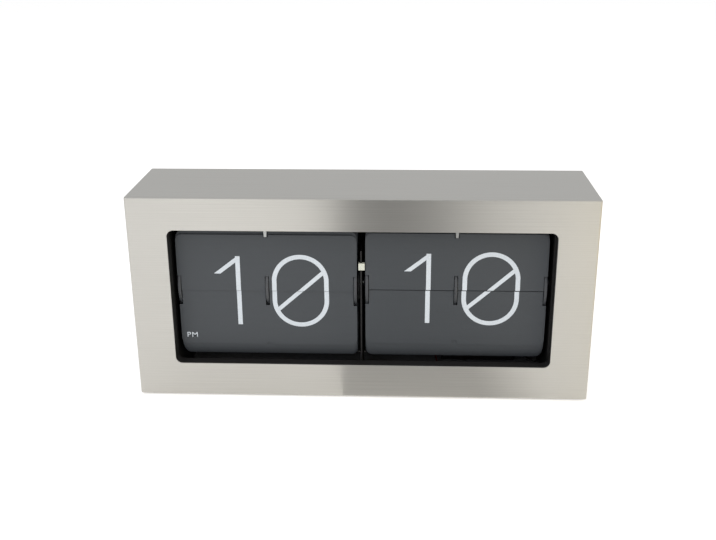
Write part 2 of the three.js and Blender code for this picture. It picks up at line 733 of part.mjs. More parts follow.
// The other leaves of a drum, which fan out over its upper half and hang from its lower half. Each takes the
// place of the one before it as the drum turns, so the stack as a whole keeps its shape. A part ring in the
// groove of the outer disc holds it together.
function leafStack(drum) {
  const step = 360 / drum.leaves;
  const first = drum.pinAngle + step;
  const last = drum.pinAngle + 360 - 2 * step;
  const leaves = Array.from({ length: drum.leaves - 2 }, (_, i) => {
    const angle = first + i * step;
    return leaf(drum, Math.min(angle, 180), pinPlace(packPinRadius, angle), false);
  });
  const half = leafWidth / 2;
  const ringNear = half - DISC_THICKNESS - 2 * RUN_GAP;
  const ringFar = half - DISC_THICKNESS + GROOVE_DEPTH - RUN_GAP;
  const steps = drum.leaves / 3;
  const sector = [
    ...arc(0, 0, packPinRadius + LINK_RING_WIDTH / 2, 180 - first, 180 - last, steps),
    ...arc(0, 0, packPinRadius - LINK_RING_WIDTH / 2, 180 - last, 180 - first, steps),
  ];
  const ring = drum.side > 0 ? [ringNear, ringFar] : [-ringFar, -ringNear];
  return joined([...leaves, extrudeX(sector, ...ring)]);
}

// A hook in front of the upper leaf's free edge, hung from the top bar by a bent foot
function leafHook(drum) {
  const pinY = pinPlace(upperPinRadius, drum.pinAngle)[0];
  const edgeY = pinY + LEAF_LENGTH * Math.sin(THREE.MathUtils.degToRad(drum.lean));
  const back = edgeY - LEAF_THICKNESS / 2 - SEAT_GAP;
  const top = topBarZ - SEAT_GAP;
  const tab = extrudeY(
    [
      [-HOOK_TIP_WIDTH / 2, HOOK_TIP_RISE],
      [HOOK_TIP_WIDTH / 2, HOOK_TIP_RISE],
      [HOOK_ROOT_WIDTH / 2, top],
      [-HOOK_ROOT_WIDTH / 2, top],
    ],
    back - HOOK_THICKNESS,
    back,
  );
  const footBox = box(
    [-HOOK_ROOT_WIDTH / 2, back - HOOK_THICKNESS, top - HOOK_THICKNESS],
    [HOOK_ROOT_WIDTH / 2, back + HOOK_FOOT, top],
  );
  return tab.add(footBox);
}

// A disc at the end of a drum: the groove that holds the leaves' pins is in the face that looks along `inward`
function grooveDisc(x0, inward) {
  const bore = HUB_RADIUS + SHAFT_GAP;
  const grooveOuter = DISC_RADIUS - GROOVE_WALL;
  const grooveInner = grooveOuter - GROOVE_WIDTH;
  const face = inward > 0 ? x0 + DISC_THICKNESS : x0;
  const floor = face - inward * GROOVE_DEPTH;
  const [low, high] = [Math.min(face, floor), Math.max(face, floor)];
  const groove = inward > 0 ? [low, high + 1] : [low - 1, high];
  const disc = ringX(DISC_RADIUS, bore, x0, x0 + DISC_THICKNESS, DISC_SIDES);
  return disc.subtract(ringX(grooveOuter, grooveInner, ...groove, DISC_SIDES));
}

function middleDisc() {
  return ringX(DISC_RADIUS, HUB_RADIUS + SHAFT_GAP, -DISC_THICKNESS / 2, DISC_THICKNESS / 2, DISC_SIDES);
}

function hourHub() {
  const left = -(plateInner - 1.5 * RUN_GAP);
  const body = ringX(HUB_RADIUS, AXLE_RADIUS + SHAFT_GAP, left, -DRUM_GAP / 2);
  const neck = ringX(HUB_NECK_RADIUS, AXLE_RADIUS + SHAFT_GAP, -DRUM_GAP / 2 - 1, -carryInner);
  return body.add(neck);
}

function hourGear() {
  const phase = meshPhase(PINION_TEETH, 0, HOUR_GEAR_TEETH, 180);
  const teeth = gear(HOUR_GEAR_TEETH, carryModuleOut, -carryOuter, -carryInner, phase);
  return teeth.subtract(rodX(HUB_NECK_RADIUS + SHAFT_GAP, -carryOuter - 1, -carryInner + 1));
}

// The minute drum's hub has the carry pinion at its left end, and its right end goes through the end plate
function minuteHub() {
  const bore = AXLE_RADIUS + SHAFT_GAP;
  const right = plateInner - 1.5 * RUN_GAP;
  const end = driveGearX + DRIVE_GEAR_WIDTH + 2 * RUN_GAP;
  const pinion = gear(PINION_TEETH, carryModuleIn, carryInner, DRUM_GAP / 2 + 1);
  const body = rodX(HUB_RADIUS, DRUM_GAP / 2, right);
  const neck = rodX(HUB_NECK_RADIUS, right - 1, end);
  return joined([pinion, body, neck]).subtract(rodX(bore, 0, end + 1));
}

function minuteGear() {
  const teeth = gear(MINUTE_GEAR_TEETH, DRIVE_MODULE, driveGearX, driveGearX + DRIVE_GEAR_WIDTH);
  return teeth.subtract(rodX(HUB_NECK_RADIUS + SHAFT_GAP, driveGearX - 1, driveGearX + DRIVE_GEAR_WIDTH + 1));
}

// A wheel and a pinion on one hub that turns in the centre plate, and carries the minutes over to the hours
function carryGear() {
  const wheelPhase = meshPhase(PINION_TEETH, 0, CARRY_WHEEL_TEETH, 0);
  const wheel = gear(CARRY_WHEEL_TEETH, carryModuleIn, carryInner, carryOuter, wheelPhase);
  const pinion = gear(PINION_TEETH, carryModuleOut, -carryOuter, 0);
  const hub = rodX(carryHubRadius, -carryInner, carryInner + 0.1);
  return joined([wheel, pinion, hub]);
}

function driveArbor() {
  const phase = meshPhase(MINUTE_GEAR_TEETH, 0, PINION_TEETH, ARBOR_ANGLE);
  const pinion = gear(
    PINION_TEETH,
    DRIVE_MODULE,
    driveGearX - RUN_GAP,
    wheelX,
    phase,
  );
  const wheel = gear(WHEEL_TEETH, WHEEL_MODULE, wheelX - 0.1, wheelX + WHEEL_WIDTH);
  return joined([pinion, wheel, rodX(ARBOR_RADIUS, plateInner + SEAT_GAP, bracketOuter)]);
}

function motorPinion() {
  const phase = meshPhase(WHEEL_TEETH, 0, PINION_TEETH, -90);
  const teeth = gear(PINION_TEETH, WHEEL_MODULE, wheelX - RUN_GAP, wheelX + WHEEL_WIDTH + RUN_GAP, phase);
  return teeth.add(rodX(MOTOR_SHAFT_RADIUS, wheelX, motorX + MOTOR_LENGTH / 2, 0, 0, 12));
}

function motorCan() {
  const can = rodX(MOTOR_RADIUS, motorX, motorX + MOTOR_LENGTH, 0, 0, 32);
  const bore = MOTOR_SHAFT_RADIUS + SHAFT_GAP;
  return can.subtract(rodX(bore, motorX - 1, motorX + MOTOR_LENGTH / 2 + RUN_GAP, 0, 0, 12));
}

// The outer plate of the bay at the right, on four posts: it holds the far ends of the axle and arbors
function driveBracket() {
  const outline = [
    [plateFront, -56],
    [8, -56],
    [26, -42],
    [settingY + 5, -8],
    [settingY + 5, 8],
    [16, 36],
    [plateFront, 32],
  ];
  const holes = [
    arc(0, 0, AXLE_RADIUS + SHAFT_GAP, 0, 337.5, 15),
    arc(arborY, arborZ, ARBOR_RADIUS + SHAFT_GAP, 0, 330, 11),
    arc(settingY, 0, AXLE_RADIUS + SHAFT_GAP, 0, 337.5, 15),
  ];
  const plate = extrudeX(outline, bracketX, bracketOuter, holes);
  const posts = [
    [plateFront + 5, 27],
    [10, 30],
    [20, -38],
    [plateFront + 4, -52],
  ].map(([y, z]) => rodX(BRACKET_POST_RADIUS, plateOuter + SEAT_GAP, bracketX + 0.1, y, z, 12));
  return joined([plate, ...posts]);
}

// A knurled wheel, reached by a finger through the back cover, on one moulding with its gear
function settingWheel() {
  const phase = meshPhase(MINUTE_GEAR_TEETH, 0, SETTING_GEAR_TEETH, 0);
  const teeth = gear(SETTING_GEAR_TEETH, DRIVE_MODULE, driveGearX - RUN_GAP, knurlX + 0.1, phase);
  const rim = Array.from({ length: 2 * KNURL_COUNT }, (_, i) => {
    const radius = i % 2 ? knurlRadius - KNURL_DEPTH : knurlRadius;
    const angle = (i * Math.PI) / KNURL_COUNT;
    return [radius * Math.cos(angle), radius * Math.sin(angle)];
  });
  const knurl = extrudeX(rim, knurlX, knurlX + KNURL_WIDTH);
  return joined([teeth, knurl, rodX(AXLE_RADIUS, plateInner + SEAT_GAP, bracketOuter)]);
}

// The battery, lying along X with its nub to the left
function batteryCell() {
  const nubTip = pocketLeft + 2 * SEAT_GAP + STRIP_THICKNESS;
  const shoulder = nubTip + CELL_NUB_LENGTH;
  const nub = rodX(CELL_NUB_RADIUS, nubTip, shoulder + 1);
  return rodX(CELL_RADIUS, shoulder, shoulder + CELL_LENGTH, 0, 0, 32).add(nub);
}

// A box open to the back, rounded round the cell, with a wall at each end
function batteryHolder() {
  const outer = pocketRadius + HOLDER_WALL;
  const back = [holderBack - cellCentreY, outer];
  const outside = [back, ...arc(0, 0, outer, 90, 270, 16), [back[0], -outer]];
  const cavity = [
    [back[0] + 1, pocketRadius],
    ...arc(0, 0, pocketRadius, 90, 270, 16),
    [back[0] + 1, -pocketRadius],
  ];
  const pocket = extrudeX(cavity, pocketLeft, pocketRight);
  const leadHole = rodX(LEAD_RADIUS + SHAFT_GAP, holderLeft - 1, holderRight + 1, 0, leadZ, 10);
  return extrudeX(outside, holderLeft, holderRight).subtract(pocket).subtract(leadHole);
}

// A bent strip: the line through its points, thickened to both sides
function stripOutline(points, thickness) {
  const sideOf = (sign) =>
    points.map((point, i) => {
      const before = points[Math.max(i - 1, 0)];
      const after = points[Math.min(i + 1, points.length - 1)];
      const inDirection = new THREE.Vector2(point[0] - before[0], point[1] - before[1]).normalize();
      const outDirection = new THREE.Vector2(after[0] - point[0], after[1] - point[1]).normalize();
      const along = inDirection.clone().add(outDirection).normalize();
      const one = i === 0 ? outDirection : inDirection;
      const miter = (sign * thickness) / 2 / Math.max(along.dot(one), 0.3);
      return [point[0] - along.y * miter, point[1] + along.x * miter];
    });
  return [...sideOf(-1), ...sideOf(1).reverse()];
}

// The sprung contact at the flat end of the cell, bent from one strip
function contactSpring() {
  const wall = pocketRight - SEAT_GAP - STRIP_THICKNESS / 2;
  const touch = wall - SPRING_SPACE;
  const reach = CELL_RADIUS * 0.6;
  const points = [
    [wall, -reach],
    [wall, reach],
    [touch, 0],
    [wall - SPRING_SPACE / 2, -reach / 2],
  ];
  const outline = stripOutline(points, STRIP_THICKNESS);
  const geometry = new THREE.ExtrudeGeometry(shapeOf(outline), { depth: STRIP_WIDTH, bevelEnabled: false });
  geometry.rotateX(Math.PI / 2);
  geometry.translate(0, STRIP_WIDTH / 2, 0);
  return solidOf(geometry);
}

function contactPlate() {
  const x = pocketLeft + SEAT_GAP;
  const reach = CELL_RADIUS * 0.6;
  return box([x, -STRIP_WIDTH / 2, -reach], [x + STRIP_THICKNESS, STRIP_WIDTH / 2, reach]);
}

// The board on its standoffs, with its chip and its crystal can
function circuitBoard() {
  const [deep, tall] = BOARD_SIZE;
  const inner = plateOuter + BOARD_STANDOFF;
  const face = inner + BOARD_THICKNESS;
  const board = box([inner, 0, 0], [face, deep, tall]);
  const corners = [3, deep - 3].flatMap((y) => [3, tall - 3].map((z) => [y, z]));
  const standoffs = corners.map(([y, z]) => rodX(1.5, plateOuter + SEAT_GAP, inner + 0.1, y, z, 10));
  const chip = box([face - 0.1, deep / 2, 8], [face + 1.6, deep / 2 + 10, 16]);
  const crystal = rodX(1.6, face - 0.1, face + 5, deep - 4, tall / 2, 10);
  return joined([board, chip, crystal, ...standoffs]);
}

// A round lead along a smooth curve through its points
function lead(points) {
  const curve = new THREE.CatmullRomCurve3(points.map((point) => new THREE.Vector3(...point)), false, "centripetal");
  const section = shapeOf(arc(0, 0, LEAD_RADIUS, 0, 300, 5));
  return solidOf(new THREE.ExtrudeGeometry(section, { steps: 28, extrudePath: curve, bevelEnabled: false }));
}

// Assembly

addPiece(clock, "case_shell", caseShell(), brushedSteel());
addPiece(clock, "window_bezel", windowBezel(), blackPlastic());
addPiece(clock, "back_cover", backCover(), blackPlastic());
addPiece(clock, "battery_door", batteryDoor(), blackPlastic());
addPiece(clock, "chassis_tray", chassisTray(), blackSteel());

const backScrew = screw(BACK_SCREW_LENGTH - 1);
blockPlaces.forEach(([x, z], i) => {
  const holder = new THREE.Group();
  holder.position.set(x, coverOuter + SEAT_GAP, z);
  holder.rotation.x = -Math.PI / 2;
  clock.add(holder);
  addPiece(holder, `back_screw_${i + 1}`, backScrew, zincSteel());
});

const trayScrewSeat = plateFoot + FLANGE_THICKNESS + SEAT_GAP;
const trayScrew = screw(trayScrewSeat - FOOT_THICKNESS / 2 - SEAT_GAP);
footPlaces.forEach(([x, y], i) => {
  addPiece(clock, `foot_${i + 1}`, foot(), rubber(), [x, y, 0]);
  addPiece(clock, `tray_screw_${i + 1}`, trayScrew, zincSteel(), [x, y, trayScrewSeat]);
});

const leadHolePlace = [LEAD_HOLE_Y - axisY, trayTop + LEAD_HOLE_RISE - axisZ];
const axleHole = arc(0, 0, AXLE_RADIUS + SHAFT_GAP, 0, 337.5, 15);
const rightPlateHoles = [
  arc(0, 0, HUB_NECK_RADIUS + SHAFT_GAP, 0, 345, 23),
  arc(arborY, arborZ, ARBOR_RADIUS + SHAFT_GAP, 0, 330, 11),
  arc(settingY, 0, AXLE_RADIUS + SHAFT_GAP, 0, 337.5, 15),
  arc(...leadHolePlace, LEAD_HOLE_RADIUS, 0, 337.5, 15),
];
addPiece(movement, "end_plate_left", endPlate(-1, [axleHole]), blackSteel());
addPiece(movement, "end_plate_right", endPlate(1, rightPlateHoles), blackSteel());
addPiece(movement, "centre_plate", centrePlate(), blackSteel());
addPiece(movement, "centre_clip", centreClip(), creamNylon());
addPiece(movement, "top_bar", topBar(), blackSteel());

const axleLeft = -(plateOuter + 2 * RUN_GAP + CLIP_RING);
const axleRight = bracketOuter + 2 * RUN_GAP + CLIP_RING;
const clipRing = (x) => ringX(2 * AXLE_RADIUS, AXLE_RADIUS + SHAFT_GAP, x, x + CLIP_RING);
addPiece(movement, "main_axle", rodX(AXLE_RADIUS, axleLeft, axleRight, 0, 0, 16), zincSteel());
addPiece(movement, "axle_clip_left", clipRing(-(plateOuter + RUN_GAP + CLIP_RING)), zincSteel());
addPiece(movement, "axle_clip_right", clipRing(bracketOuter + RUN_GAP), zincSteel());

addPiece(movement, "hour_hub", hourHub(), greyPlastic());
addPiece(movement, "hour_gear", hourGear(), creamNylon());
addPiece(movement, "minute_hub", minuteHub(), greyPlastic());
addPiece(movement, "minute_gear", minuteGear(), creamNylon());
addPiece(movement, "carry_gear", carryGear(), creamNylon(), [0, CARRY_CENTRES, 0]);

for (const drum of [HOUR, MINUTE]) {
  const group = new THREE.Group();
  group.position.x = drum.side * (DRUM_GAP / 2 + leafWidth / 2);
  movement.add(group);
  const step = 360 / drum.leaves;
  const end = leafWidth / 2;
  addPiece(group, `${drum.name}_disc_left`, grooveDisc(-end, 1), greyPlastic());
  addPiece(group, `${drum.name}_disc_middle`, middleDisc(), greyPlastic());
  addPiece(group, `${drum.name}_disc_right`, grooveDisc(end - DISC_THICKNESS, -1), greyPlastic());
  const upper = shownLeaf(drum, drum.lean, pinPlace(upperPinRadius, drum.pinAngle));
  const lower = shownLeaf(drum, 180, pinPlace(lowerPinRadius, drum.pinAngle - step));
  addPiece(group, `${drum.name}_leaf_upper`, upper, leafPlastic());
  addPiece(group, `${drum.name}_leaf_lower`, lower, leafPlastic());
  addPiece(group, `${drum.name}_leaf_stack`, leafStack(drum), leafPlastic());
  addPiece(group, `${drum.name}_leaf_hook`, leafHook(drum), zincSteel());
}

addPiece(movement, "drive_arbor", driveArbor(), creamNylon(), [0, arborY, arborZ]);
addPiece(movement, "motor_pinion", motorPinion(), brass(), [0, arborY, motorZ]);
addPiece(movement, "motor", motorCan(), zincSteel(), [0, arborY, motorZ]);
addPiece(movement, "drive_bracket", driveBracket(), blackSteel());
addPiece(movement, "setting_wheel", settingWheel(), greyPlastic(), [0, settingY, 0]);
addPiece(movement, "circuit_board", circuitBoard(), finish(0x2f5b3a, 0.5), boardPlace);

const cellPlace = [0, cellCentreY, cellCentreZ];
addPiece(clock, "battery_holder", batteryHolder(), blackPlastic(), cellPlace);
addPiece(clock, "battery", batteryCell(), finish(0x8a8c90, 0.4, 0.6), cellPlace);
addPiece(clock, "contact_spring", contactSpring(), brass(), cellPlace);
addPiece(clock, "contact_plate", contactPlate(), brass(), cellPlace);

// The two leads run from the contacts, round the box, through the end plate and onto the board
const boardFaceX = MOVEMENT_SHIFT + plateOuter + BOARD_STANDOFF + BOARD_THICKNESS;
const plateX = MOVEMENT_SHIFT + plateInner;
const holeZ = trayTop + LEAD_HOLE_RISE;
const leadStartZ = cellCentreZ + leadZ;
const boardY = axisY + boardPlace[1];
const boardZ = axisZ + boardPlace[2];
const negativeRoute = [
  [pocketRight, cellCentreY, leadStartZ],
  [holderRight + 2, cellCentreY, leadStartZ],
  [holderRight + 6, cellCentreY - 4, leadStartZ - 1],
  [plateX - 8, LEAD_HOLE_Y + 6, holeZ + 1],
  [plateX - 3, LEAD_HOLE_Y + 1.5, holeZ + 0.8],
  [plateX + END_PLATE + 3, LEAD_HOLE_Y + 1.5, holeZ + 0.8],
  [boardFaceX + 5, LEAD_HOLE_Y + 4, holeZ + 3],
  [boardFaceX + 7, boardY + 6, boardZ + 5],
  [boardFaceX + 4, boardY + 7.5, boardZ + 6],
  [boardFaceX + SEAT_GAP, boardY + 7.5, boardZ + 6],
];
const positiveRoute = [
  [pocketLeft, cellCentreY, leadStartZ],
  [holderLeft - 2, cellCentreY, leadStartZ],
  [holderLeft - 5, cellCentreY - 5, leadStartZ - 2],
  [holderLeft - 3, LEAD_HOLE_Y + 3, trayTop + 2.5],
  [holderLeft + 6, LEAD_HOLE_Y - 1, trayTop + 1.5],
  [holderRight, LEAD_HOLE_Y - 1, trayTop + 1.5],
  [plateX - 4, LEAD_HOLE_Y - 1.5, holeZ - 0.8],
  [plateX + END_PLATE + 3, LEAD_HOLE_Y - 1.5, holeZ - 0.8],
  [boardFaceX + 8, LEAD_HOLE_Y, holeZ + 4],
  [boardFaceX + 7, boardY + 3, boardZ + 13],
  [boardFaceX + 4, boardY + 4, boardZ + 14],
  [boardFaceX + SEAT_GAP, boardY + 4, boardZ + 14],
];
addPiece(clock, "lead_negative", lead(negativeRoute), finish(0x151515, 0.6));
addPiece(clock, "lead_positive", lead(positiveRoute), finish(0x5c1714, 0.6));

export default clock;
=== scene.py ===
"""Looks of the flip clock: a brushed steel box whose window shows two drums of split leaves."""

import math

import bmesh
import bpy
from mathutils import Matrix, Vector


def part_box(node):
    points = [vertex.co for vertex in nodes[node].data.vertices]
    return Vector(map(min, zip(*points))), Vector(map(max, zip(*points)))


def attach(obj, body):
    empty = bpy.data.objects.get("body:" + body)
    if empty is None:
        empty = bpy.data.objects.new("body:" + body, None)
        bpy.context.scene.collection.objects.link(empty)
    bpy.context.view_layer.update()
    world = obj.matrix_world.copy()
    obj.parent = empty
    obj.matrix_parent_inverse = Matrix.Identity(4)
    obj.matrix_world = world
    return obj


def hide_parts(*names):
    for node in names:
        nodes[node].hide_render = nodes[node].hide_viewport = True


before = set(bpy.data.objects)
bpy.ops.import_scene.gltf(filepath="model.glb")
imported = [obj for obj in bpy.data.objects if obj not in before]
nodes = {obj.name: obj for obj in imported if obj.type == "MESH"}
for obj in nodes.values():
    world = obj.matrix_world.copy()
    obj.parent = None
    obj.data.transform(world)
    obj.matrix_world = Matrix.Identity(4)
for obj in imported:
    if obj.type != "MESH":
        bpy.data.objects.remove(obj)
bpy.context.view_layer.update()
mm = 0.001


# The camera
# It stands in front of the clock, a little to its right, and looks down on it through a normal lens.
# Its place and turn were solved from the corners of the case and of the window in the photograph.

camera_place = Vector((30.86, -740.85, 368.92)) * mm
camera_yaw = math.radians(-2.718)
camera_pitch = math.radians(20.316)
camera_roll = math.radians(-0.383)
photo_width = 716
photo_focal = 967.93

camera_data = bpy.data.cameras.new("camera")
camera = bpy.data.objects.new("camera", camera_data)
bpy.context.scene.collection.objects.link(camera)
camera_data.sensor_fit = "HORIZONTAL"
camera_data.lens = camera_data.sensor_width * photo_focal / photo_width
ahead = Vector((
    math.sin(camera_yaw) * math.cos(camera_pitch),
    math.cos(camera_yaw) * math.cos(camera_pitch),
    -math.sin(camera_pitch),
))
level_right = Vector((math.cos(camera_yaw), -math.sin(camera_yaw), 0))
level_up = level_right.cross(ahead)
right = level_right * math.cos(camera_roll) + level_up * math.sin(camera_roll)
up = level_up * math.cos(camera_roll) - level_right * math.sin(camera_roll)
camera.matrix_world = Matrix.Translation(camera_place) @ Matrix((right, up, -ahead)).transposed().to_4x4()
bpy.context.scene.camera = camera
bpy.context.scene.view_settings.view_transform = "Standard"


# Floor, background and lamps
# A plain pale floor before a white background. Softboxes light the clock from above, from the front and from
# the near left, and a warm one from the right. Two cards on the floor are there for the steel to mirror.

def linear(text):
    """The linear colour, with alpha, of an sRGB hex value such as c8c7c1."""
    shares = [int(text[i:i + 2], 16) / 255 for i in (0, 2, 4)]
    return [s / 12.92 if s <= 0.04045 else ((s + 0.055) / 1.055) ** 2.4 for s in shares] + [1]


def add_node(tree, kind, inputs=None, **settings):
    """A shader node with its settings, and its inputs as values or as links from other sockets."""
    made = tree.nodes.new(kind)
    for name, value in settings.items():
        setattr(made, name, value)
    for name, value in (inputs or {}).items():
        if isinstance(value, bpy.types.NodeSocket):
            tree.links.new(value, made.inputs[name])
        else:
            made.inputs[name].default_value = value
    return made


def new_material(name):
    """An empty material and its node tree, to which a shader is then added."""
    material = bpy.data.materials.new(name)
    material.use_nodes = True
    material.node_tree.nodes.clear()
    return material, material.node_tree


def finish_material(tree, shader):
    add_node(tree, "ShaderNodeOutputMaterial", {"Surface": shader})


# The camera sees the background as white, and all other rays see it dimmer.
world_light = 0.62
world = bpy.data.worlds.new("studio")
bpy.context.scene.world = world
world.use_nodes = True
tree = world.node_tree
tree.nodes.clear()
path = add_node(tree, "ShaderNodeLightPath")
strength = add_node(tree, "ShaderNodeMapRange",
                    {"Value": path.outputs["Is Camera Ray"], "To Min": world_light, "To Max": 1.0})
sky = add_node(tree, "ShaderNodeBackground", {"Color": linear("ffffff"), "Strength": strength.outputs[0]})
add_node(tree, "ShaderNodeOutputWorld", {"Surface": sky.outputs[0]})

# The floor glows a little for the camera, which turns it white and leaves the clock's shadow on it, and a
# little warmer for reflections.
floor_size = 8
floor_in_view = 0.42
floor_in_steel = 0.05
bpy.ops.object.select_all(action="DESELECT")
bpy.ops.mesh.primitive_plane_add(size=floor_size)
floor = bpy.context.object
floor.name = "floor"
material, tree = new_material("white_paper")
paper = add_node(tree, "ShaderNodeBsdfPrincipled", {"Base Color": linear("f4f4f4"), "Roughness": 0.9})
path = add_node(tree, "ShaderNodeLightPath")
viewed = add_node(tree, "ShaderNodeMath", {0: path.outputs["Is Camera Ray"], 1: floor_in_view},
                  operation="MULTIPLY")
seen = add_node(tree, "ShaderNodeEmission", {"Color": linear("ffffff"), "Strength": viewed.outputs[0]})
mirrored = add_node(tree, "ShaderNodeMath", {0: path.outputs["Is Glossy Ray"], 1: floor_in_steel},
                    operation="MULTIPLY")
glow = add_node(tree, "ShaderNodeEmission", {"Color": linear("ffdc98"), "Strength": mirrored.outputs[0]})
both = add_node(tree, "ShaderNodeAddShader", {0: seen.outputs[0], 1: glow.outputs[0]})
white = add_node(tree, "ShaderNodeAddShader", {0: paper.outputs[0], 1: both.outputs[0]})
finish_material(tree, white.outputs[0])
floor.data.materials.append(material)


def area_lamp(name, place, target, size, watts, text):
    """A softbox that faces its target. Reflections don't show it."""
    data = bpy.data.lights.new(name, "AREA")
    data.shape = "RECTANGLE"
    data.size, data.size_y = size
    data.energy = watts
    data.color = linear(text)[:3]
    lamp = bpy.data.objects.new(name, data)
    bpy.context.scene.collection.objects.link(lamp)
    turn = (Vector(target) - Vector(place)).to_track_quat("-Z", "Y")
    lamp.matrix_world = Matrix.Translation(Vector(place)) @ turn.to_matrix().to_4x4()
    lamp.visible_glossy = False


area_lamp("overhead_softbox", (-0.2, -0.8, 1.7), (0, 0, 0.1), (2.4, 1.8), 12, "ffffff")
area_lamp("front_softbox", (-0.1, -2.2, 0.6), (0, 0, 0.1), (2.2, 1.0), 10, "ffffff")
area_lamp("near_softbox_left", (-0.25, -0.72, 0.5), (0, 0, 0.09), (0.4, 0.3), 1.35, "ffffff")
area_lamp("warm_softbox_right", (1.4, -0.8, 0.6), (0.4, -0.3, 0), (0.9, 0.9), 6, "ffe9b0")

card_lift = 1 * mm
thins_from = 0.85


def card(name, near, far, fade, near_cover, text):
    """A sheet on the floor that only reflections see, with each end given as (left, right, y). It fades out
    to the right over a share of its width, and thins towards the clock until it covers near_cover."""
    bpy.ops.object.select_all(action="DESELECT")
    bpy.ops.mesh.primitive_plane_add(size=2)
    made = bpy.context.object
    made.name = name
    for vertex in made.data.vertices:
        left, right, y = far if vertex.co.y < 0 else near
        vertex.co = (left if vertex.co.x < 0 else right, y, card_lift)
    material, tree = new_material(name)
    where = add_node(tree, "ShaderNodeUVMap", uv_map="UVMap")
    axes = add_node(tree, "ShaderNodeSeparateXYZ", {"Vector": where.outputs[0]})
    across = add_node(tree, "ShaderNodeMapRange", {
        "Value": axes.outputs["X"], "From Min": 1 - fade, "From Max": 1, "To Min": 1, "To Max": 0,
    })
    along = add_node(tree, "ShaderNodeMapRange", {
        "Value": axes.outputs["Y"], "From Min": thins_from, "From Max": 1, "To Min": 1, "To Max": near_cover,
    })
    cover = add_node(tree, "ShaderNodeMath", {0: across.outputs[0], 1: along.outputs[0]},
                     operation="MULTIPLY")
    clear = add_node(tree, "ShaderNodeBsdfTransparent")
    matt = add_node(tree, "ShaderNodeBsdfDiffuse", {"Color": linear(text)})
    finish_material(tree, add_node(tree, "ShaderNodeMixShader",
                                   {0: cover.outputs[0], 1: clear.outputs[0], 2: matt.outputs[0]}).outputs[0])
    made.data.materials.append(material)
    made.visible_camera = False
    made.visible_diffuse = False
    made.visible_shadow = False


# The dark card gives the steel the soft dark band in its middle, and the warm one its warm right side.
card("dark_card", (-0.015, 0.153, -0.045), (-0.294, 0.77, -3.2), 0.31, 0.4, "0a0a0a")
card("warm_card", (0.9, 0.15, -0.045), (1.4, 0.36, -1.6), 0.4, 1, "f2e2b2")


# Case
# One sheet of stainless steel, 1.2 mm thick, cut, folded to a box that is open at the back, and brushed along
# its length. Its window is punched in the front, and the punched edge is broken by a narrow chamfer.

sheet = 1.2 * mm
bend_radius = 1.3 * mm
window_radius = 5 * mm
chamfer = 0.45 * mm
brush_line = 0.5 * mm
brush_length = 110 * mm


def only(piece):
    """Selects this piece and nothing else, and makes it the active one."""
    bpy.ops.object.select_all(action="DESELECT")
    piece.select_set(True)
    bpy.context.view_layer.objects.active = piece


def block(name, low, high):
    """A box between two corners, as a start for shaping."""
    bpy.ops.object.select_all(action="DESELECT")
    low, high = Vector(low), Vector(high)
    bpy.ops.mesh.primitive_cube_add(size=1, location=(low + high) / 2)
    piece = bpy.context.object
    piece.name = piece.data.name = name
    piece.scale = high - low
    bpy.ops.object.transform_apply()
    return piece


def edit(piece, kind, test):
    """Opens the piece in edit mode with the faces, edges or vertices that pass the test selected."""
    only(piece)
    bpy.ops.object.mode_set(mode="EDIT")
    bpy.ops.mesh.select_mode(type={"faces": "FACE", "edges": "EDGE", "vertices": "VERT"}[kind])
    bpy.ops.mesh.select_all(action="DESELECT")
    mesh = bmesh.from_edit_mesh(piece.data)
    if kind == "faces":
        for face in mesh.faces:
            face.select_set(bool(test(face.calc_center_median(), face.normal)))
    elif kind == "edges":
        for edge in mesh.edges:
            edge.select_set(bool(test(edge.verts[0].co, edge.verts[1].co)))
    else:
        for vertex in mesh.verts:
            vertex.select_set(bool(test(vertex.co)))
    mesh.select_flush_mode()
    bmesh.update_edit_mesh(piece.data)


def edit_all(piece):
    edit(piece, "faces", lambda centre, normal: True)


def done():
    bpy.ops.object.mode_set(mode="OBJECT")


def modify(piece, kind, **settings):
    """Adds a modifier to the piece and applies it."""
    only(piece)
    modifier = piece.modifiers.new(kind.lower(), kind)
    for name, value in settings.items():
        setattr(modifier, name, value)
    bpy.ops.object.modifier_apply(modifier=modifier.name)


def cut(piece, *cutters):
    """Takes the cutters out of the piece, and deletes them."""
    for cutter in cutters:
        modify(piece, "BOOLEAN", object=cutter, operation="DIFFERENCE", solver="EXACT")
        bpy.data.objects.remove(cutter)


def join(first, *others):
    only(first)
    for other in others:
        other.select_set(True)
    bpy.ops.object.join()
    return first


def smooth(piece, degrees=30):
    only(piece)
    bpy.ops.object.shade_smooth_by_angle(angle=math.radians(degrees))
    modify(piece, "WEIGHTED_NORMAL", keep_sharp=True)


def dress(piece, material, body, slot, *replaced):
    """Gives the piece its material and body, and hides the CAD nodes that it stands for. The slot is not
    used.
    """
    piece.data.materials.clear()
    piece.data.materials.append(material)
    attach(piece, body)
    if replaced:
        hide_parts(*replaced)


def paint(piece, material, test):
    """Gives the faces that pass the test a further material."""
    piece.data.materials.append(material)
    for face in piece.data.polygons:
        if test(face.center):
            face.material_index = len(piece.data.materials) - 1


case_low, case_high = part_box("case_shell")
bezel_low, bezel_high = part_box("window_bezel")
bezel_flange = 7 * mm
window_low = bezel_low + Vector((bezel_flange, 0, bezel_flange))
window_high = bezel_high - Vector((bezel_flange, 0, bezel_flange))

case = block("brushed_case", case_low, case_high)
edit(case, "edges", lambda a, b: min(a.y, b.y) < case_high.y - mm)
bpy.ops.mesh.bevel(offset=bend_radius, segments=4, affect="EDGES")
done()
edit(case, "faces", lambda centre, normal: normal.y > 0.9)
bpy.ops.mesh.delete(type="FACE")
done()
modify(case, "SOLIDIFY", thickness=sheet, offset=-1, use_even_offset=True)

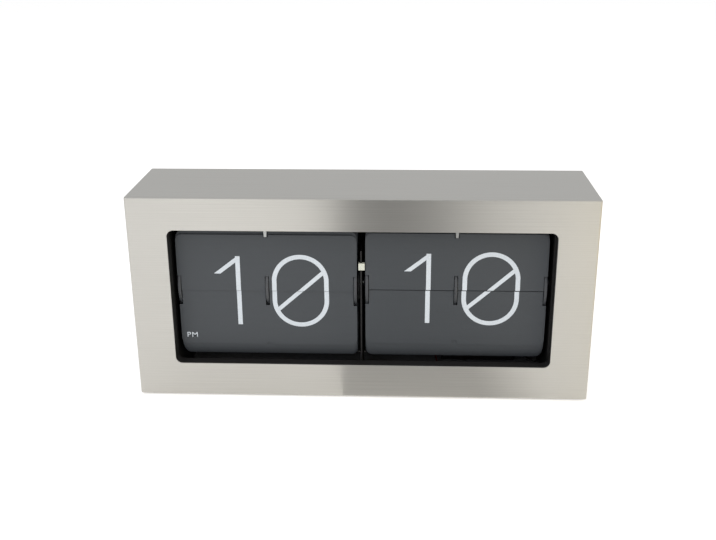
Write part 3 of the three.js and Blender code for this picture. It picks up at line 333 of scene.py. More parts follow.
window_cutter = block(
    "window_cutter",
    (window_low.x, case_low.y - sheet, window_low.z),
    (window_high.x, case_low.y + 3 * sheet, window_high.z),
)
edit(window_cutter, "edges", lambda a, b: abs(a.y - b.y) > sheet)
bpy.ops.mesh.bevel(offset=window_radius, segments=8, affect="EDGES")
done()
cut(case, window_cutter)


def on_window_edge(a, b):
    inside = all(
        window_low.x - mm < v.x < window_high.x + mm and window_low.z - mm < v.z < window_high.z + mm
        for v in (a, b)
    )
    return inside and max(a.y, b.y) < case_low.y + sheet / 2


edit(case, "edges", on_window_edge)
bpy.ops.mesh.bevel(offset=chamfer, segments=2, affect="EDGES")
done()

# The four threaded blocks that are welded in the rear corners, for the screws of the back cover
block_side = 9 * mm
block_length = 10 * mm
block_to_cover = 0.3 * mm
cover_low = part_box("back_cover")[0]
corner_blocks = []
for x_side in (-1, 1):
    for z_low in (case_low.z + sheet, case_high.z - sheet - block_side):
        x_outer = x_side * (case_high.x - sheet)
        x_inner = x_outer - x_side * block_side
        corner_blocks.append(block(
            "corner_block",
            (min(x_outer, x_inner), cover_low.y - block_length - block_to_cover, z_low),
            (max(x_outer, x_inner), cover_low.y - block_to_cover, z_low + block_side),
        ))
join(case, *corner_blocks)
edit_all(case)
bpy.ops.uv.cube_project(cube_size=1)
done()
smooth(case)

# Brushed stainless steel: the grit leaves long fine lines, which spread a reflection across their own
# direction. They are drawn half a millimetre wide, because real ones are too fine to show.
material, tree = new_material("brushed_stainless_steel")
where = add_node(tree, "ShaderNodeUVMap", uv_map="UVMap")
lines = add_node(tree, "ShaderNodeMapping",
                 {"Vector": where.outputs[0], "Scale": (1 / brush_length, 1 / brush_line, 1)})
grain = add_node(tree, "ShaderNodeTexNoise",
                 {"Vector": lines.outputs[0], "Scale": 1, "Detail": 4, "Roughness": 0.6})
clouds = add_node(tree, "ShaderNodeTexNoise", {"Vector": where.outputs[0], "Scale": 0.009 / mm, "Detail": 2})
tone = add_node(tree, "ShaderNodeMapRange",
                {"Value": grain.outputs[0], "From Min": 0.3, "From Max": 0.7, "To Min": 0.0, "To Max": 1.0})
colour = add_node(tree, "ShaderNodeMix",
                  {"Factor": tone.outputs[0], "A": linear("d0cfcb"), "B": linear("dbdad6")}, data_type="RGBA")
roughness = add_node(tree, "ShaderNodeMapRange", {"Value": clouds.outputs[0], "To Min": 0.27, "To Max": 0.36})
bump = add_node(tree, "ShaderNodeBump", {"Height": grain.outputs[0], "Strength": 0.06, "Distance": 0.1 * mm})
tangent = add_node(tree, "ShaderNodeTangent", direction_type="UV_MAP", uv_map="UVMap")
shader = add_node(tree, "ShaderNodeBsdfPrincipled", {
    "Base Color": colour.outputs["Result"],
    "Metallic": 1.0,
    "Roughness": roughness.outputs[0],
    "Anisotropic": 0.85,
    "Anisotropic Rotation": 0.25,
    "Tangent": tangent.outputs[0],
    "Normal": bump.outputs[0],
})
finish_material(tree, shader.outputs[0])
dress(case, material, "clock_frame", "case_steel", "case_shell")

# The inside keeps the dull grey skin that the rolling mill left on the sheet.
material, tree = new_material("mill_finish_steel")
where = add_node(tree, "ShaderNodeTexCoord")
scale_marks = add_node(tree, "ShaderNodeTexNoise",
                       {"Vector": where.outputs["Object"], "Scale": 0.06 / mm, "Detail": 4})
colour = add_node(tree, "ShaderNodeMix",
                  {"Factor": scale_marks.outputs[0], "A": linear("5c5b58"), "B": linear("7a7975")},
                  data_type="RGBA")
shader = add_node(tree, "ShaderNodeBsdfPrincipled",
                  {"Base Color": colour.outputs["Result"], "Metallic": 1.0, "Roughness": 0.55})
finish_material(tree, shader.outputs[0])
skin = sheet / 2
paint(case, material, lambda centre: abs(centre.x) < case_high.x - skin
      and centre.y > case_low.y + 1.1 * skin and case_low.z + skin < centre.z < case_high.z - skin)


# Black plastic parts
# The window's bezel, the back cover, the battery door and the battery holder are moulded in black ABS.
# Their skin has the fine even grain of a spark-eroded mould, which dulls the light without hiding it.

weld = 0.001 * mm
flat_within = 0.5


def moulded(name, text, grit, roughness, relief=0.05):
    """Moulded plastic, with its grain drawn so many millimetres wide: a real one is too fine to show."""
    material, tree = new_material(name)
    where = add_node(tree, "ShaderNodeTexCoord")
    grain = add_node(tree, "ShaderNodeTexNoise", {
        "Vector": where.outputs["Object"], "Scale": 1 / (grit * mm), "Detail": 3, "Roughness": 0.5,
    })
    flow = add_node(tree, "ShaderNodeTexNoise",
                    {"Vector": where.outputs["Object"], "Scale": 0.014 / mm, "Detail": 2})
    shade = add_node(tree, "ShaderNodeMapRange", {"Value": flow.outputs[0], "To Min": 0.9, "To Max": 1.12})
    colour = add_node(tree, "ShaderNodeMix", {"Factor": 1.0, "A": linear(text), "B": shade.outputs[0]},
                      data_type="RGBA", blend_type="MULTIPLY")
    rough = add_node(tree, "ShaderNodeMapRange", {
        "Value": grain.outputs[0], "To Min": roughness - 0.06, "To Max": roughness + 0.06,
    })
    bump = add_node(tree, "ShaderNodeBump",
                    {"Height": grain.outputs[0], "Strength": relief * 4, "Distance": relief * mm})
    shader = add_node(tree, "ShaderNodeBsdfPrincipled", {
        "Base Color": colour.outputs["Result"],
        "Roughness": rough.outputs[0],
        "IOR": 1.53,
        "Normal": bump.outputs[0],
    })
    finish_material(tree, shader.outputs[0])
    return material


def round_edges(piece, width, degrees, segments=2):
    """Bevels the edges whose faces meet at more than so many degrees."""
    modify(piece, "BEVEL", width=width, segments=segments, limit_method="ANGLE",
           angle_limit=math.radians(degrees))


def finished(node, rounding, material, body, slot, soft_below=30):
    """A piece in the shape of a CAD node, with whole faces, rounded sharp edges and smoothed soft ones."""
    piece = bpy.data.objects.new(node + "_finished", nodes[node].data.copy())
    bpy.context.scene.collection.objects.link(piece)
    edit_all(piece)
    bpy.ops.mesh.remove_doubles(threshold=weld)
    bpy.ops.mesh.dissolve_limited(angle_limit=math.radians(flat_within))
    done()
    if rounding:
        round_edges(piece, rounding, soft_below + 5)
    smooth(piece, soft_below)
    dress(piece, material, body, slot, node)
    return piece


black_abs = moulded("moulded_black_abs", "1c1b1b", grit=0.9, roughness=0.5)
for node, rounding, body in (
    ("window_bezel", 0.4 * mm, "clock_frame"), ("back_cover", 0.4 * mm, "clock_frame"),
    ("battery_door", 0.3 * mm, "door"), ("battery_holder", 0.3 * mm, "clock_frame"),
):
    finished(node, rounding, black_abs, body, "black_plastic")


# Chassis
# The tray, the plates that carry the axle, the bar above the leaves and the bracket are pressed steel.
# The tray is powder coated in graphite grey, and the rest in black.

orange_peel = 1.4 * mm


def powder_coat(name, text):
    """Baked powder paint, with the slight orange peel of its melted grains."""
    material, tree = new_material(name)
    where = add_node(tree, "ShaderNodeTexCoord")
    peel = add_node(tree, "ShaderNodeTexVoronoi",
                    {"Vector": where.outputs["Object"], "Scale": 1 / orange_peel}, feature="SMOOTH_F1")
    bump = add_node(tree, "ShaderNodeBump",
                    {"Height": peel.outputs[0], "Strength": 0.25, "Distance": 0.1 * mm})
    rough = add_node(tree, "ShaderNodeMapRange", {"Value": peel.outputs[0], "To Min": 0.42, "To Max": 0.56})
    shader = add_node(tree, "ShaderNodeBsdfPrincipled", {
        "Base Color": linear(text),
        "Roughness": rough.outputs[0],
        "Normal": bump.outputs[0],
    })
    finish_material(tree, shader.outputs[0])
    return material


sheared_edge = 0.2 * mm
black_coat = powder_coat("black_powder_coat", "161617")
graphite_coat = powder_coat("graphite_powder_coat", "6a6a6e")
finished("chassis_tray", sheared_edge, graphite_coat, "clock_frame", "black_steel")
for node in ("end_plate_left", "end_plate_right", "centre_plate", "top_bar", "drive_bracket"):
    finished(node, sheared_edge, black_coat, "clock_frame", "black_steel")


# Drums
# Two drums turn on one fixed steel axle. Each has a hub and three discs of dark grey ABS, whose rims stand
# through notches in the leaves. The outer discs have a groove inside, in which the leaves' pins run.

disc_radius = 20.5 * mm
disc_thickness = 2.4 * mm
disc_bore = 4.7 * mm
groove_outer = 19.7 * mm
groove_inner = 16.3 * mm
groove_depth = 1.4 * mm
rim_rounding = 0.5 * mm

axle_low, axle_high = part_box("main_axle")
axle_middle = (axle_low + axle_high) / 2
axis_y, axis_z = axle_middle.y, axle_middle.z


def turned(name, outline, centre, axis, steps=64):
    """A solid turned on a lathe: its outline is a list of places along the axis and distances from it."""
    along = {"X": Vector((1, 0, 0)), "Y": Vector((0, 1, 0)), "Z": Vector((0, 0, 1))}[axis]
    outwards = Vector((1, 0, 0)) if axis == "Z" else Vector((0, 0, 1))
    points = [Vector(centre) + along * place + outwards * radius for place, radius in outline]
    if outline[0][1] > 0:
        points.append(points[0])
    bpy.ops.object.select_all(action="DESELECT")
    bpy.ops.mesh.primitive_plane_add(size=mm)
    piece = bpy.context.object
    piece.name = piece.data.name = name
    bpy.ops.object.mode_set(mode="EDIT")
    bpy.ops.mesh.select_mode(type="VERT")
    bpy.ops.mesh.select_all(action="SELECT")
    bpy.ops.mesh.merge(type="CENTER")
    bpy.ops.transform.translate(value=points[0])
    for start, end in zip(points, points[1:]):
        bpy.ops.mesh.extrude_region_move(TRANSFORM_OT_translate={"value": end - start})
    bpy.ops.mesh.select_all(action="SELECT")
    bpy.ops.mesh.remove_doubles(threshold=weld)
    bpy.ops.mesh.spin(steps=steps, angle=math.tau, center=centre, axis=along)
    bpy.ops.mesh.select_all(action="SELECT")
    bpy.ops.mesh.remove_doubles(threshold=weld)
    bpy.ops.mesh.normals_make_consistent(inside=False)
    done()
    return piece


def drum_disc(node, inwards):
    """One disc; inwards is 1 or -1 where its groove looks along +X or -X, and 0 for a plain disc."""
    half = disc_thickness / 2
    outline = [(-half, disc_bore), (-half, disc_radius), (half, disc_radius)]
    if inwards:
        outline += [
            (half, groove_outer), (half - groove_depth, groove_outer),
            (half - groove_depth, groove_inner), (half, groove_inner),
        ]
    outline.append((half, disc_bore))
    if inwards < 0:
        outline = [(-place, radius) for place, radius in outline]
    low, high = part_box(node)
    disc = turned(node + "_finished", outline, ((low.x + high.x) / 2, axis_y, axis_z), "X", 72)
    round_edges(disc, rim_rounding, 60, segments=3)
    smooth(disc, 40)
    return disc


# Dark grey ABS, polished by the mould and by wear, so that the rims catch a soft light.
drum_abs = moulded("moulded_grey_abs", "404246", grit=0.5, roughness=0.36, relief=0.02)
for drum in ("hour", "minute"):
    for side, inwards in (("left", 1), ("middle", 0), ("right", -1)):
        node = f"{drum}_disc_{side}"
        dress(drum_disc(node, inwards), drum_abs, drum + "_drum", "drum_plastic", node)
    finished(drum + "_hub", 0.15 * mm, drum_abs, drum + "_drum", "drum_plastic")


# Leaves
# Each numeral is split over two leaves of dark grey PVC sheet, 0.4 mm thick, die cut with notches for the
# discs. They hang on pins round each drum: those behind the upper leaf wait, and those behind the lower one
# are spent.

leaf_thickness = 0.4 * mm
leaf_length = 45.3 * mm
leaf_corner = 5 * mm
leaf_clearance = 0.4 * mm
upper_pin_radius = 18.9 * mm
lower_pin_radius = 18.25 * mm
stack_pin_radius = 17.6 * mm
hook_half = 1.9 * mm

# In degrees: pin is the held leaf's place round the drum, lean how far it leans back, and next_lean how far
# the first waiting one does, which presses against it.
drums = {
    "hour": {"leaves": 48, "pin": -2, "lean": 1.5, "next_lean": 2.1, "heel": 1.0 * mm},
    "minute": {"leaves": 60, "pin": 3.1, "lean": 3.1, "next_lean": 3.8, "heel": 0.6 * mm},
}
for name, drum in drums.items():
    low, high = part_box(name + "_leaf_lower")
    drum["middle"] = (low.x + high.x) / 2
    drum["width"] = high.x - low.x
    drum["step"] = 360 / drum["leaves"]
    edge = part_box(name + "_leaf_upper")[1].z
    drum["notch"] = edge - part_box(name + "_leaf_hook")[0].z + leaf_clearance


def pin_place(drum, radius, degrees):
    """Where a pin sits on its circle: angles count from the front, over the top, to the back."""
    angle = math.radians(degrees)
    return Vector((drum["middle"], axis_y - radius * math.cos(angle), axis_z + radius * math.sin(angle)))


def leaf_blank(name, drum, notched):
    """One leaf, upright, with its pin at the origin and its thickness centred on it."""
    half = drum["width"] / 2
    heel = drum["heel"]
    sheet_half = leaf_thickness / 2
    leaf = block(name, (-half, -sheet_half, -heel), (half, sheet_half, leaf_length))
    edit(leaf, "edges", lambda a, b: abs(a.y - b.y) > sheet_half and a.z > 0)
    bpy.ops.mesh.bevel(offset=leaf_corner, segments=6, affect="EDGES")
    done()
    notch_top = leaf_clearance + math.sqrt(disc_radius ** 2 - (stack_pin_radius - sheet_half) ** 2)
    end_notch = disc_thickness + leaf_clearance
    middle_notch = disc_thickness / 2 + leaf_clearance
    cutters = [
        block("notch", (-half - mm, -mm, -heel - mm), (-half + end_notch, mm, notch_top)),
        block("notch", (-middle_notch, -mm, -heel - mm), (middle_notch, mm, notch_top)),
        block("notch", (half - end_notch, -mm, -heel - mm), (half + mm, mm, notch_top)),
    ]
    if notched:
        hook_bottom = leaf_length - drum["notch"]
        cutters.append(block("notch", (-hook_half, -mm, hook_bottom), (hook_half, mm, leaf_length + mm)))
    cut(leaf, *cutters)
    return leaf


def set_leaf(leaf, place, lean):
    """Turns a leaf about its pin, so that it leans back by so many degrees, and puts the pin in its place."""
    only(leaf)
    leaf.matrix_world = Matrix.Translation(place) @ Matrix.Rotation(-math.radians(lean), 4, "X")
    bpy.ops.object.transform_apply()


def copy_of(piece):
    made = piece.copy()
    made.data = piece.data.copy()
    bpy.context.scene.collection.objects.link(made)
    return made


# Calendered PVC sheet: dull, and faintly streaked along the roll.
material, tree = new_material("dark_grey_pvc_sheet")
where = add_node(tree, "ShaderNodeTexCoord")
streak = add_node(tree, "ShaderNodeMapping",
                  {"Vector": where.outputs["Object"], "Scale": (0.025 / mm, 0.4 / mm, 0.4 / mm)})
roll = add_node(tree, "ShaderNodeTexNoise", {"Vector": streak.outputs[0], "Scale": 1, "Detail": 3})
tooth = add_node(tree, "ShaderNodeTexNoise",
                 {"Vector": where.outputs["Object"], "Scale": 1.5 / mm, "Detail": 2})
colour = add_node(tree, "ShaderNodeMix",
                  {"Factor": roll.outputs[0], "A": linear("393d42"), "B": linear("3c4045")}, data_type="RGBA")
bump = add_node(tree, "ShaderNodeBump", {"Height": tooth.outputs[0], "Strength": 0.1, "Distance": 0.05 * mm})
rough = add_node(tree, "ShaderNodeMapRange", {"Value": roll.outputs[0], "To Min": 0.45, "To Max": 0.5})
shader = add_node(tree, "ShaderNodeBsdfPrincipled", {
    "Base Color": colour.outputs["Result"],
    "Roughness": rough.outputs[0],
    "IOR": 1.53,
    "Normal": bump.outputs[0],
})
finish_material(tree, shader.outputs[0])
leaf_pvc = material

for name, drum in drums.items():
    upper = leaf_blank(name + "_upper_leaf", drum, True)
    set_leaf(upper, pin_place(drum, upper_pin_radius, drum["pin"]), drum["lean"])
    dress(upper, leaf_pvc, name + "_leaf", "leaf_plastic", name + "_leaf_upper")

    lower = leaf_blank(name + "_lower_leaf", drum, True)
    set_leaf(lower, pin_place(drum, lower_pin_radius, drum["pin"] - drum["step"]), 180)
    dress(lower, leaf_pvc, "clock_frame", "leaf_plastic", name + "_leaf_lower")

    pattern = leaf_blank(name + "_stack", drum, False)
    stack = []
    for i in range(drum["leaves"] - 2):
        angle = drum["pin"] + drum["step"] * (i + 1)
        leaf = copy_of(pattern)
        lean = min(angle, 180) if i else drum["next_lean"]
        set_leaf(leaf, pin_place(drum, stack_pin_radius, angle), lean)
        stack.append(leaf)
    bpy.data.objects.remove(pattern)
    bundle = join(stack[0], *stack[1:])
    bundle.name = name + "_bundle"
    dress(bundle, leaf_pvc, "clock_frame", "leaf_plastic", name + "_leaf_stack")


# Numerals
# Thin numerals with a slashed nought, and a small PM, are screen printed across both halves in pale grey ink.
# The ink is a film on the sheet. The leaf behind and the upper leaf's back hold the next number, 11.

ink = 0.06 * mm
half_gap = 0.1 * mm
stroke = 3.6 * mm
slash_stroke = 3.24 * mm
slash_inset = 2.88 * mm
numeral_height = 61.2 * mm
nought_left = 4.45 * mm
nought_width = 45.1 * mm
slash_slope = 0.88
one_right = -20.4 * mm
one_height = 58.2 * mm
one_drop = 1.6 * mm
flag_reach = 19.6 * mm
flag_slope = 0.77
flag_stroke = 3.2 * mm
flag_inset = 2.16 * mm
flag_level = 0.6 * mm
pm_left = -67.2 * mm
pm_height = 4.2 * mm
pm_wider = 1.16
pm_bolder = 0.03 * mm
pm_below_pin = 39.7 * mm
pm_spacing = 1.1
capital_share = 0.7

drums["hour"].update(print_right=-0.55 * mm, print_up=29.3 * mm, lower_right=0)
drums["minute"].update(print_right=0.55 * mm, print_up=30.8 * mm, lower_right=-0.4 * mm)


def unite(first, *others):
    """Merges pieces that overlap into one solid."""
    for other in others:
        modify(first, "BOOLEAN", object=other, operation="UNION", solver="EXACT")
        bpy.data.objects.remove(other)
    return first


def trim(piece, point, normal):
    """Cuts away what lies on the normal's side of a plane, and closes the cut."""
    edit_all(piece)
    bpy.ops.mesh.bisect(plane_co=point, plane_no=normal, clear_outer=True, use_fill=True)
    done()


def bar(name, start, end, width):
    """A straight stroke of ink between two points, given as (x, z)."""
    start, end = Vector((start[0], 0, start[1])), Vector((end[0], 0, end[1]))
    length = (end - start).length
    made = block(name, (0, -ink / 2, -width / 2), (length, ink / 2, width / 2))
    tilt = math.atan2(end.z - start.z, end.x - start.x)
    made.matrix_world = Matrix.Translation(start) @ Matrix.Rotation(-tilt, 4, "Y")
    only(made)
    bpy.ops.object.transform_apply()
    return made


def nought(right, top):
    """An upright ring with straight sides, and a slash across it."""
    bpy.ops.object.select_all(action="DESELECT")
    radius = nought_width / 2
    bpy.ops.mesh.primitive_circle_add(vertices=64, radius=radius, fill_type="NGON",
                                      rotation=(math.radians(90), 0, 0))
    ring = bpy.context.object
    bpy.ops.object.transform_apply()
    edit(ring, "vertices", lambda point: point.z > weld)
    bpy.ops.transform.translate(value=(0, 0, numeral_height - nought_width))
    done()
    edit_all(ring)
    bpy.ops.mesh.inset(thickness=stroke)
    bpy.ops.mesh.delete(type="FACE")
    done()
    left = right + nought_left
    low = top - numeral_height
    ring.location = (left + radius, 0, low + radius)
    only(ring)
    bpy.ops.object.transform_apply()
    modify(ring, "SOLIDIFY", thickness=ink, offset=0)
    middle = Vector((left + radius, low + numeral_height / 2))
    half_run = radius - slash_inset
    half = Vector((half_run, half_run * slash_slope))
    return unite(ring, bar("slash", middle - half, middle + half, slash_stroke))


def one(right, top):
    """An upright stroke with a long straight flag."""
    edge = right + one_right
    head = top - one_drop
    stem = bar("stem", (edge - stroke / 2, head - one_height), (edge - stroke / 2, head), stroke)
    apex = Vector((edge - flag_inset, head))
    run = Vector((flag_reach, flag_reach * flag_slope))
    under = Vector((run.y, -run.x)).normalized() * flag_stroke / 2
    flag = bar("flag", apex - run + under, apex + run / 8 + under, flag_stroke)
    trim(flag, (edge, 0, 0), (1, 0, 0))
    trim(flag, (0, 0, head), (0, 0, 1))
    trim(flag, (0, 0, head - run.y + flag_level), (0, 0, -1))
    return unite(stem, flag)


def pm_letters():
    """The PM as a film of ink, from the origin to the right."""
    bpy.ops.object.select_all(action="DESELECT")
    bpy.ops.object.text_add(rotation=(math.radians(90), 0, 0))
    words = bpy.context.object.data
    words.body = "PM"
    words.size = pm_height / capital_share
    words.extrude = ink / 2
    words.offset = pm_bolder
    words.space_character = pm_spacing
    bpy.ops.object.convert(target="MESH")
    letters = bpy.context.object
    letters.scale.x = pm_wider
    bpy.ops.object.transform_apply()
    edit_all(letters)
    bpy.ops.mesh.remove_doubles(threshold=weld)
    done()
    return letters


# Screen ink: an opaque pale film that dries almost matt, a little thin where the screen's threads were. They
# are drawn 0.9 mm apart, because real ones are too fine to show.
material, tree = new_material("pale_screen_ink")
where = add_node(tree, "ShaderNodeTexCoord")
threads = add_node(tree, "ShaderNodeTexNoise",
                   {"Vector": where.outputs["Object"], "Scale": 1.1 / mm, "Detail": 1})
colour = add_node(tree, "ShaderNodeMix",
                  {"Factor": threads.outputs[0], "A": linear("b9c0c8"), "B": linear("cdd4dc")},
                  data_type="RGBA")
shader = add_node(tree, "ShaderNodeBsdfPrincipled",
                  {"Base Color": colour.outputs["Result"], "Roughness": 0.6, "IOR": 1.5})
finish_material(tree, shader.outputs[0])
screen_ink = material

for name, drum in drums.items():
    upper_pin = pin_place(drum, upper_pin_radius, drum["pin"])
    lower_pin = pin_place(drum, lower_pin_radius, drum["pin"] - drum["step"])
    stack_pin = pin_place(drum, stack_pin_radius, drum["pin"] + drum["step"])
    drop = upper_pin.z - lower_pin.z
    lean = math.radians(drum["lean"])
    next_lean = math.radians(drum["next_lean"])
    surface = Matrix.Translation((0, -leaf_thickness / 2, 0))
    upper_place = Matrix.Translation(upper_pin) @ Matrix.Rotation(-lean, 4, "X") @ surface
    stack_place = Matrix.Translation(stack_pin) @ Matrix.Rotation(-next_lean, 4, "X") @ surface
    lower_place = Matrix.Translation(lower_pin + Vector((drum["lower_right"], 0, drop))) @ surface
    back_place = (Matrix.Translation(upper_pin) @ Matrix.Rotation(math.pi - lean, 4, "X") @ surface
                  @ Matrix.Translation((0, 0, drop)))
    upper_level = half_gap - drum["heel"]
    lower_level = drum["heel"] - drop - half_gap
    right, top = drum["print_right"], drum["print_up"]
    shown = join(one(right, top), nought(right, top))
    second_one = right + nought_left + nought_width / 2 - one_right + stroke
    following = join(one(right, top), one(second_one, top))
    prints = [
        ("upper_print", shown, True, upper_place, name + "_leaf"),
        ("lower_print", shown, False, lower_place, "clock_frame"),
        ("next_upper_print", following, True, stack_place, "clock_frame"),
        ("next_lower_print", following, False, back_place, name + "_leaf"),
    ]
    for label, source, upper, place, body in prints:
        film = copy_of(source)
        trim(film, (0, 0, upper_level if upper else lower_level), (0, 0, -1 if upper else 1))
        film.name = f"{name}_{label}"
        film.data.transform(place)
        dress(film, screen_ink, body, None)
        if name == "hour" and not upper:
            letters = pm_letters()
            letters.data.transform(place @ Matrix.Translation((pm_left, 0, -drop - pm_below_pin)))
            letters.name = f"{name}_{label}_pm"
            dress(letters, screen_ink, body, None)
    bpy.data.objects.remove(shown)
    bpy.data.objects.remove(following)


# Hooks
# Two hooks of bent spring steel, zinc plated bright, hang from the bar above the leaves. Each catches the top
# edge of its upper leaf, and lets it fall when the drum has pulled it clear.

def plated(name, text, roughness, patch):
    """Metal with a thin plated or bare skin, whose shine varies in patches of so many millimetres."""
    material, tree = new_material(name)
    where = add_node(tree, "ShaderNodeTexCoord")
    patches = add_node(tree, "ShaderNodeTexNoise", {
        "Vector": where.outputs["Object"], "Scale": 1 / (patch * mm), "Detail": 4, "Roughness": 0.6,
    })
    shade = add_node(tree, "ShaderNodeMapRange", {"Value": patches.outputs[0], "To Min": 0.86, "To Max": 1.1})
    colour = add_node(tree, "ShaderNodeMix", {"Factor": 1.0, "A": linear(text), "B": shade.outputs[0]},
                      data_type="RGBA", blend_type="MULTIPLY")
    rough = add_node(tree, "ShaderNodeMapRange", {
        "Value": patches.outputs[0], "To Min": roughness - 0.08, "To Max": roughness + 0.08,
    })
    shader = add_node(tree, "ShaderNodeBsdfPrincipled", {
        "Base Color": colour.outputs["Result"], "Metallic": 1.0, "Roughness": rough.outputs[0],
    })
    finish_material(tree, shader.outputs[0])
    return material


zinc_plate = plated("bright_zinc_plate", "c1c4c5", roughness=0.36, patch=1.5)
finished("hour_leaf_hook", 0.15 * mm, zinc_plate, "clock_frame", "zinc_steel")
finished("minute_leaf_hook", 0.15 * mm, zinc_plate, "clock_frame", "zinc_steel")


# Centre clip
# A small moulded clip of natural nylon, pushed onto the front edge of the centre plate. It looks waxy, and it
# is the one light thing in the gap between the drums.

natural_nylon = moulded("natural_nylon", "c6c8bd", grit=0.7, roughness=0.42, relief=0.02)
finished("centre_clip", 0.25 * mm, natural_nylon, "clock_frame", "cream_nylon")


# Gear train
# Acetal gears, moulded in black, carry the motor's turns to the minute drum, and the minutes over to the
# hours. The motor's own pinion is turned from brass.

black_acetal = moulded("black_acetal", "1f1f20", grit=0.4, roughness=0.4, relief=0.01)
for node, rounding, body in (
    ("hour_gear", 0.12 * mm, "hour_drum"), ("carry_gear", 0.12 * mm, "carry_wheel"),
    ("minute_gear", 0.15 * mm, "minute_drum"), ("drive_arbor", 0.12 * mm, "arbor"),
):
    finished(node, rounding, black_acetal, body, "drum_plastic")
turned_brass = plated("turned_brass", "c7a765", roughness=0.3, patch=2)
finished("motor_pinion", 0.08 * mm, turned_brass, "motor_shaft", "brass")


# Axle and its clips
# A ground steel rod, 3 mm thick, on which both drums turn. A split ring at each end keeps it in the end
# plates. Both are plated like the hooks.

axle_radius = 1.5 * mm
end_chamfer = 0.35 * mm
clip_slot = 1.4 * mm
clip_play = 0.25 * mm

half_length = (axle_high.x - axle_low.x) / 2
outline = [
    (-half_length, 0), (-half_length, axle_radius - end_chamfer), (end_chamfer - half_length, axle_radius),
    (half_length - end_chamfer, axle_radius), (half_length, axle_radius - end_chamfer), (half_length, 0),
]
axle = turned("ground_axle", outline, axle_middle, "X", 32)
smooth(axle)
dress(axle, zinc_plate, "clock_frame", "zinc_steel", "main_axle")
for node in ("axle_clip_left", "axle_clip_right"):
    low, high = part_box(node)
    middle = (low + high) / 2
    half, outer = (high.x - low.x) / 2, (high.z - low.z) / 2
    inner = axle_radius + clip_play
    outline = [(-half, inner), (-half, outer), (half, outer), (half, inner)]
    ring = turned(node + "_finished", outline, middle, "X", 32)
    slot_low = middle - Vector((mm, clip_slot / 2, outer + mm))
    cut(ring, block("slot", slot_low, middle + Vector((mm, clip_slot / 2, 0))))
    round_edges(ring, 0.1 * mm, 50)
    smooth(ring)
    dress(ring, zinc_plate, "clock_frame", "zinc_steel", node)


# Motor
# A flat stepping motor in a drawn, zinc-plated steel can, held on the drive bracket. Its can is dished round
# the boss that carries the shaft.

def barrel(node):
    """The middle of the left end of a round piece that lies along X, its length and its radius."""
    low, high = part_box(node)
    return Vector((low.x, (low.y + high.y) / 2, (low.z + high.z) / 2)), high.x - low.x, (high.z - low.z) / 2


motor_start, motor_length, motor_radius = barrel("motor")
motor_bore = 1 * mm
bore_depth = 5.2 * mm
boss_radius = 3.2 * mm
rim_width = 1.4 * mm
dish = 0.6 * mm
draw_radius = 0.8 * mm

outline = [
    (bore_depth, 0), (bore_depth, motor_bore), (0, motor_bore), (0, boss_radius), (dish, boss_radius),
    (dish, motor_radius - rim_width), (0, motor_radius - rim_width), (0, motor_radius - draw_radius),
    (draw_radius, motor_radius), (motor_length, motor_radius), (motor_length, 0),
]
motor = turned("drawn_motor_can", outline, motor_start, "X")
round_edges(motor, 0.15 * mm, 40)
smooth(motor)
dress(motor, zinc_plate, "clock_frame", "zinc_steel", "motor")


# Setting wheel
# A knurled wheel, moulded in dark grey ABS in one with its gear. Its rim stands out of a slot in the back
# cover. A double arrow, raised 0.4 mm in one with the cover, says that it turns both ways.

finished("setting_wheel", 0.2 * mm, drum_abs, "setting_knob", "drum_plastic", soft_below=12)

arrow_half = 8 * mm
arrow_head = 4.5 * mm
arrow_width = 4.4 * mm
arrow_point = 0.08
arrow_stem = 1.4 * mm
arrow_relief = 0.4 * mm
arrow_sunk = 0.2 * mm
arrow_x = 143.5 * mm
cover_recess = 3 * mm

wheel_low, wheel_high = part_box("setting_wheel")
arrow_z = (wheel_low.z + wheel_high.z) / 2
cover_face = case_high.y - cover_recess
sunk, proud = cover_face - arrow_sunk, cover_face + arrow_relief
arrow = block(
    "turning_arrow",
    (arrow_x - arrow_stem / 2, sunk, arrow_z - arrow_half + arrow_head / 2),
    (arrow_x + arrow_stem / 2, proud, arrow_z + arrow_half - arrow_head / 2),
)
for side in (-1, 1):
    root = arrow_z + side * (arrow_half - arrow_head)
    tip = arrow_z + side * arrow_half
    head = block(
        "arrow_head",
        (arrow_x - arrow_width / 2, sunk, min(root, tip)),
        (arrow_x + arrow_width / 2, proud, max(root, tip)),
    )
    edit(head, "faces", lambda centre, normal: normal.z * side > 0.9)
    bpy.ops.transform.resize(value=(arrow_point, 1, 1))
    done()
    unite(arrow, head)
round_edges(arrow, 0.1 * mm, 30)
smooth(arrow)
dress(arrow, black_abs, "clock_frame", "black_plastic")


# Battery
# One C cell in a plain lacquered jacket, with a bare steel nub and bottom. A black ring insulates the nub's
# end. It lies between its two contacts.

cell_start, cell_length, cell_radius = barrel("battery")
nub_length = 1.5 * mm
nub_radius = 3.4 * mm
crimp = 0.7 * mm
cap_radius = 9.4 * mm
ring_depth = 0.5 * mm
lip_radius = cell_radius - 2 * crimp

outline = [
    (0, 0), (0, nub_radius), (nub_length, nub_radius), (nub_length, cap_radius),
    (nub_length + ring_depth, cap_radius), (nub_length + ring_depth, lip_radius),
    (nub_length, lip_radius), (nub_length, cell_radius - crimp), (nub_length + crimp, cell_radius),
    (cell_length - crimp, cell_radius), (cell_length, cell_radius - crimp), (cell_length, lip_radius),
    (cell_length - ring_depth, lip_radius), (cell_length - ring_depth, 0),
]
cell = turned("cell", outline, cell_start, "X")
round_edges(cell, 0.3 * mm, 40)
smooth(cell)

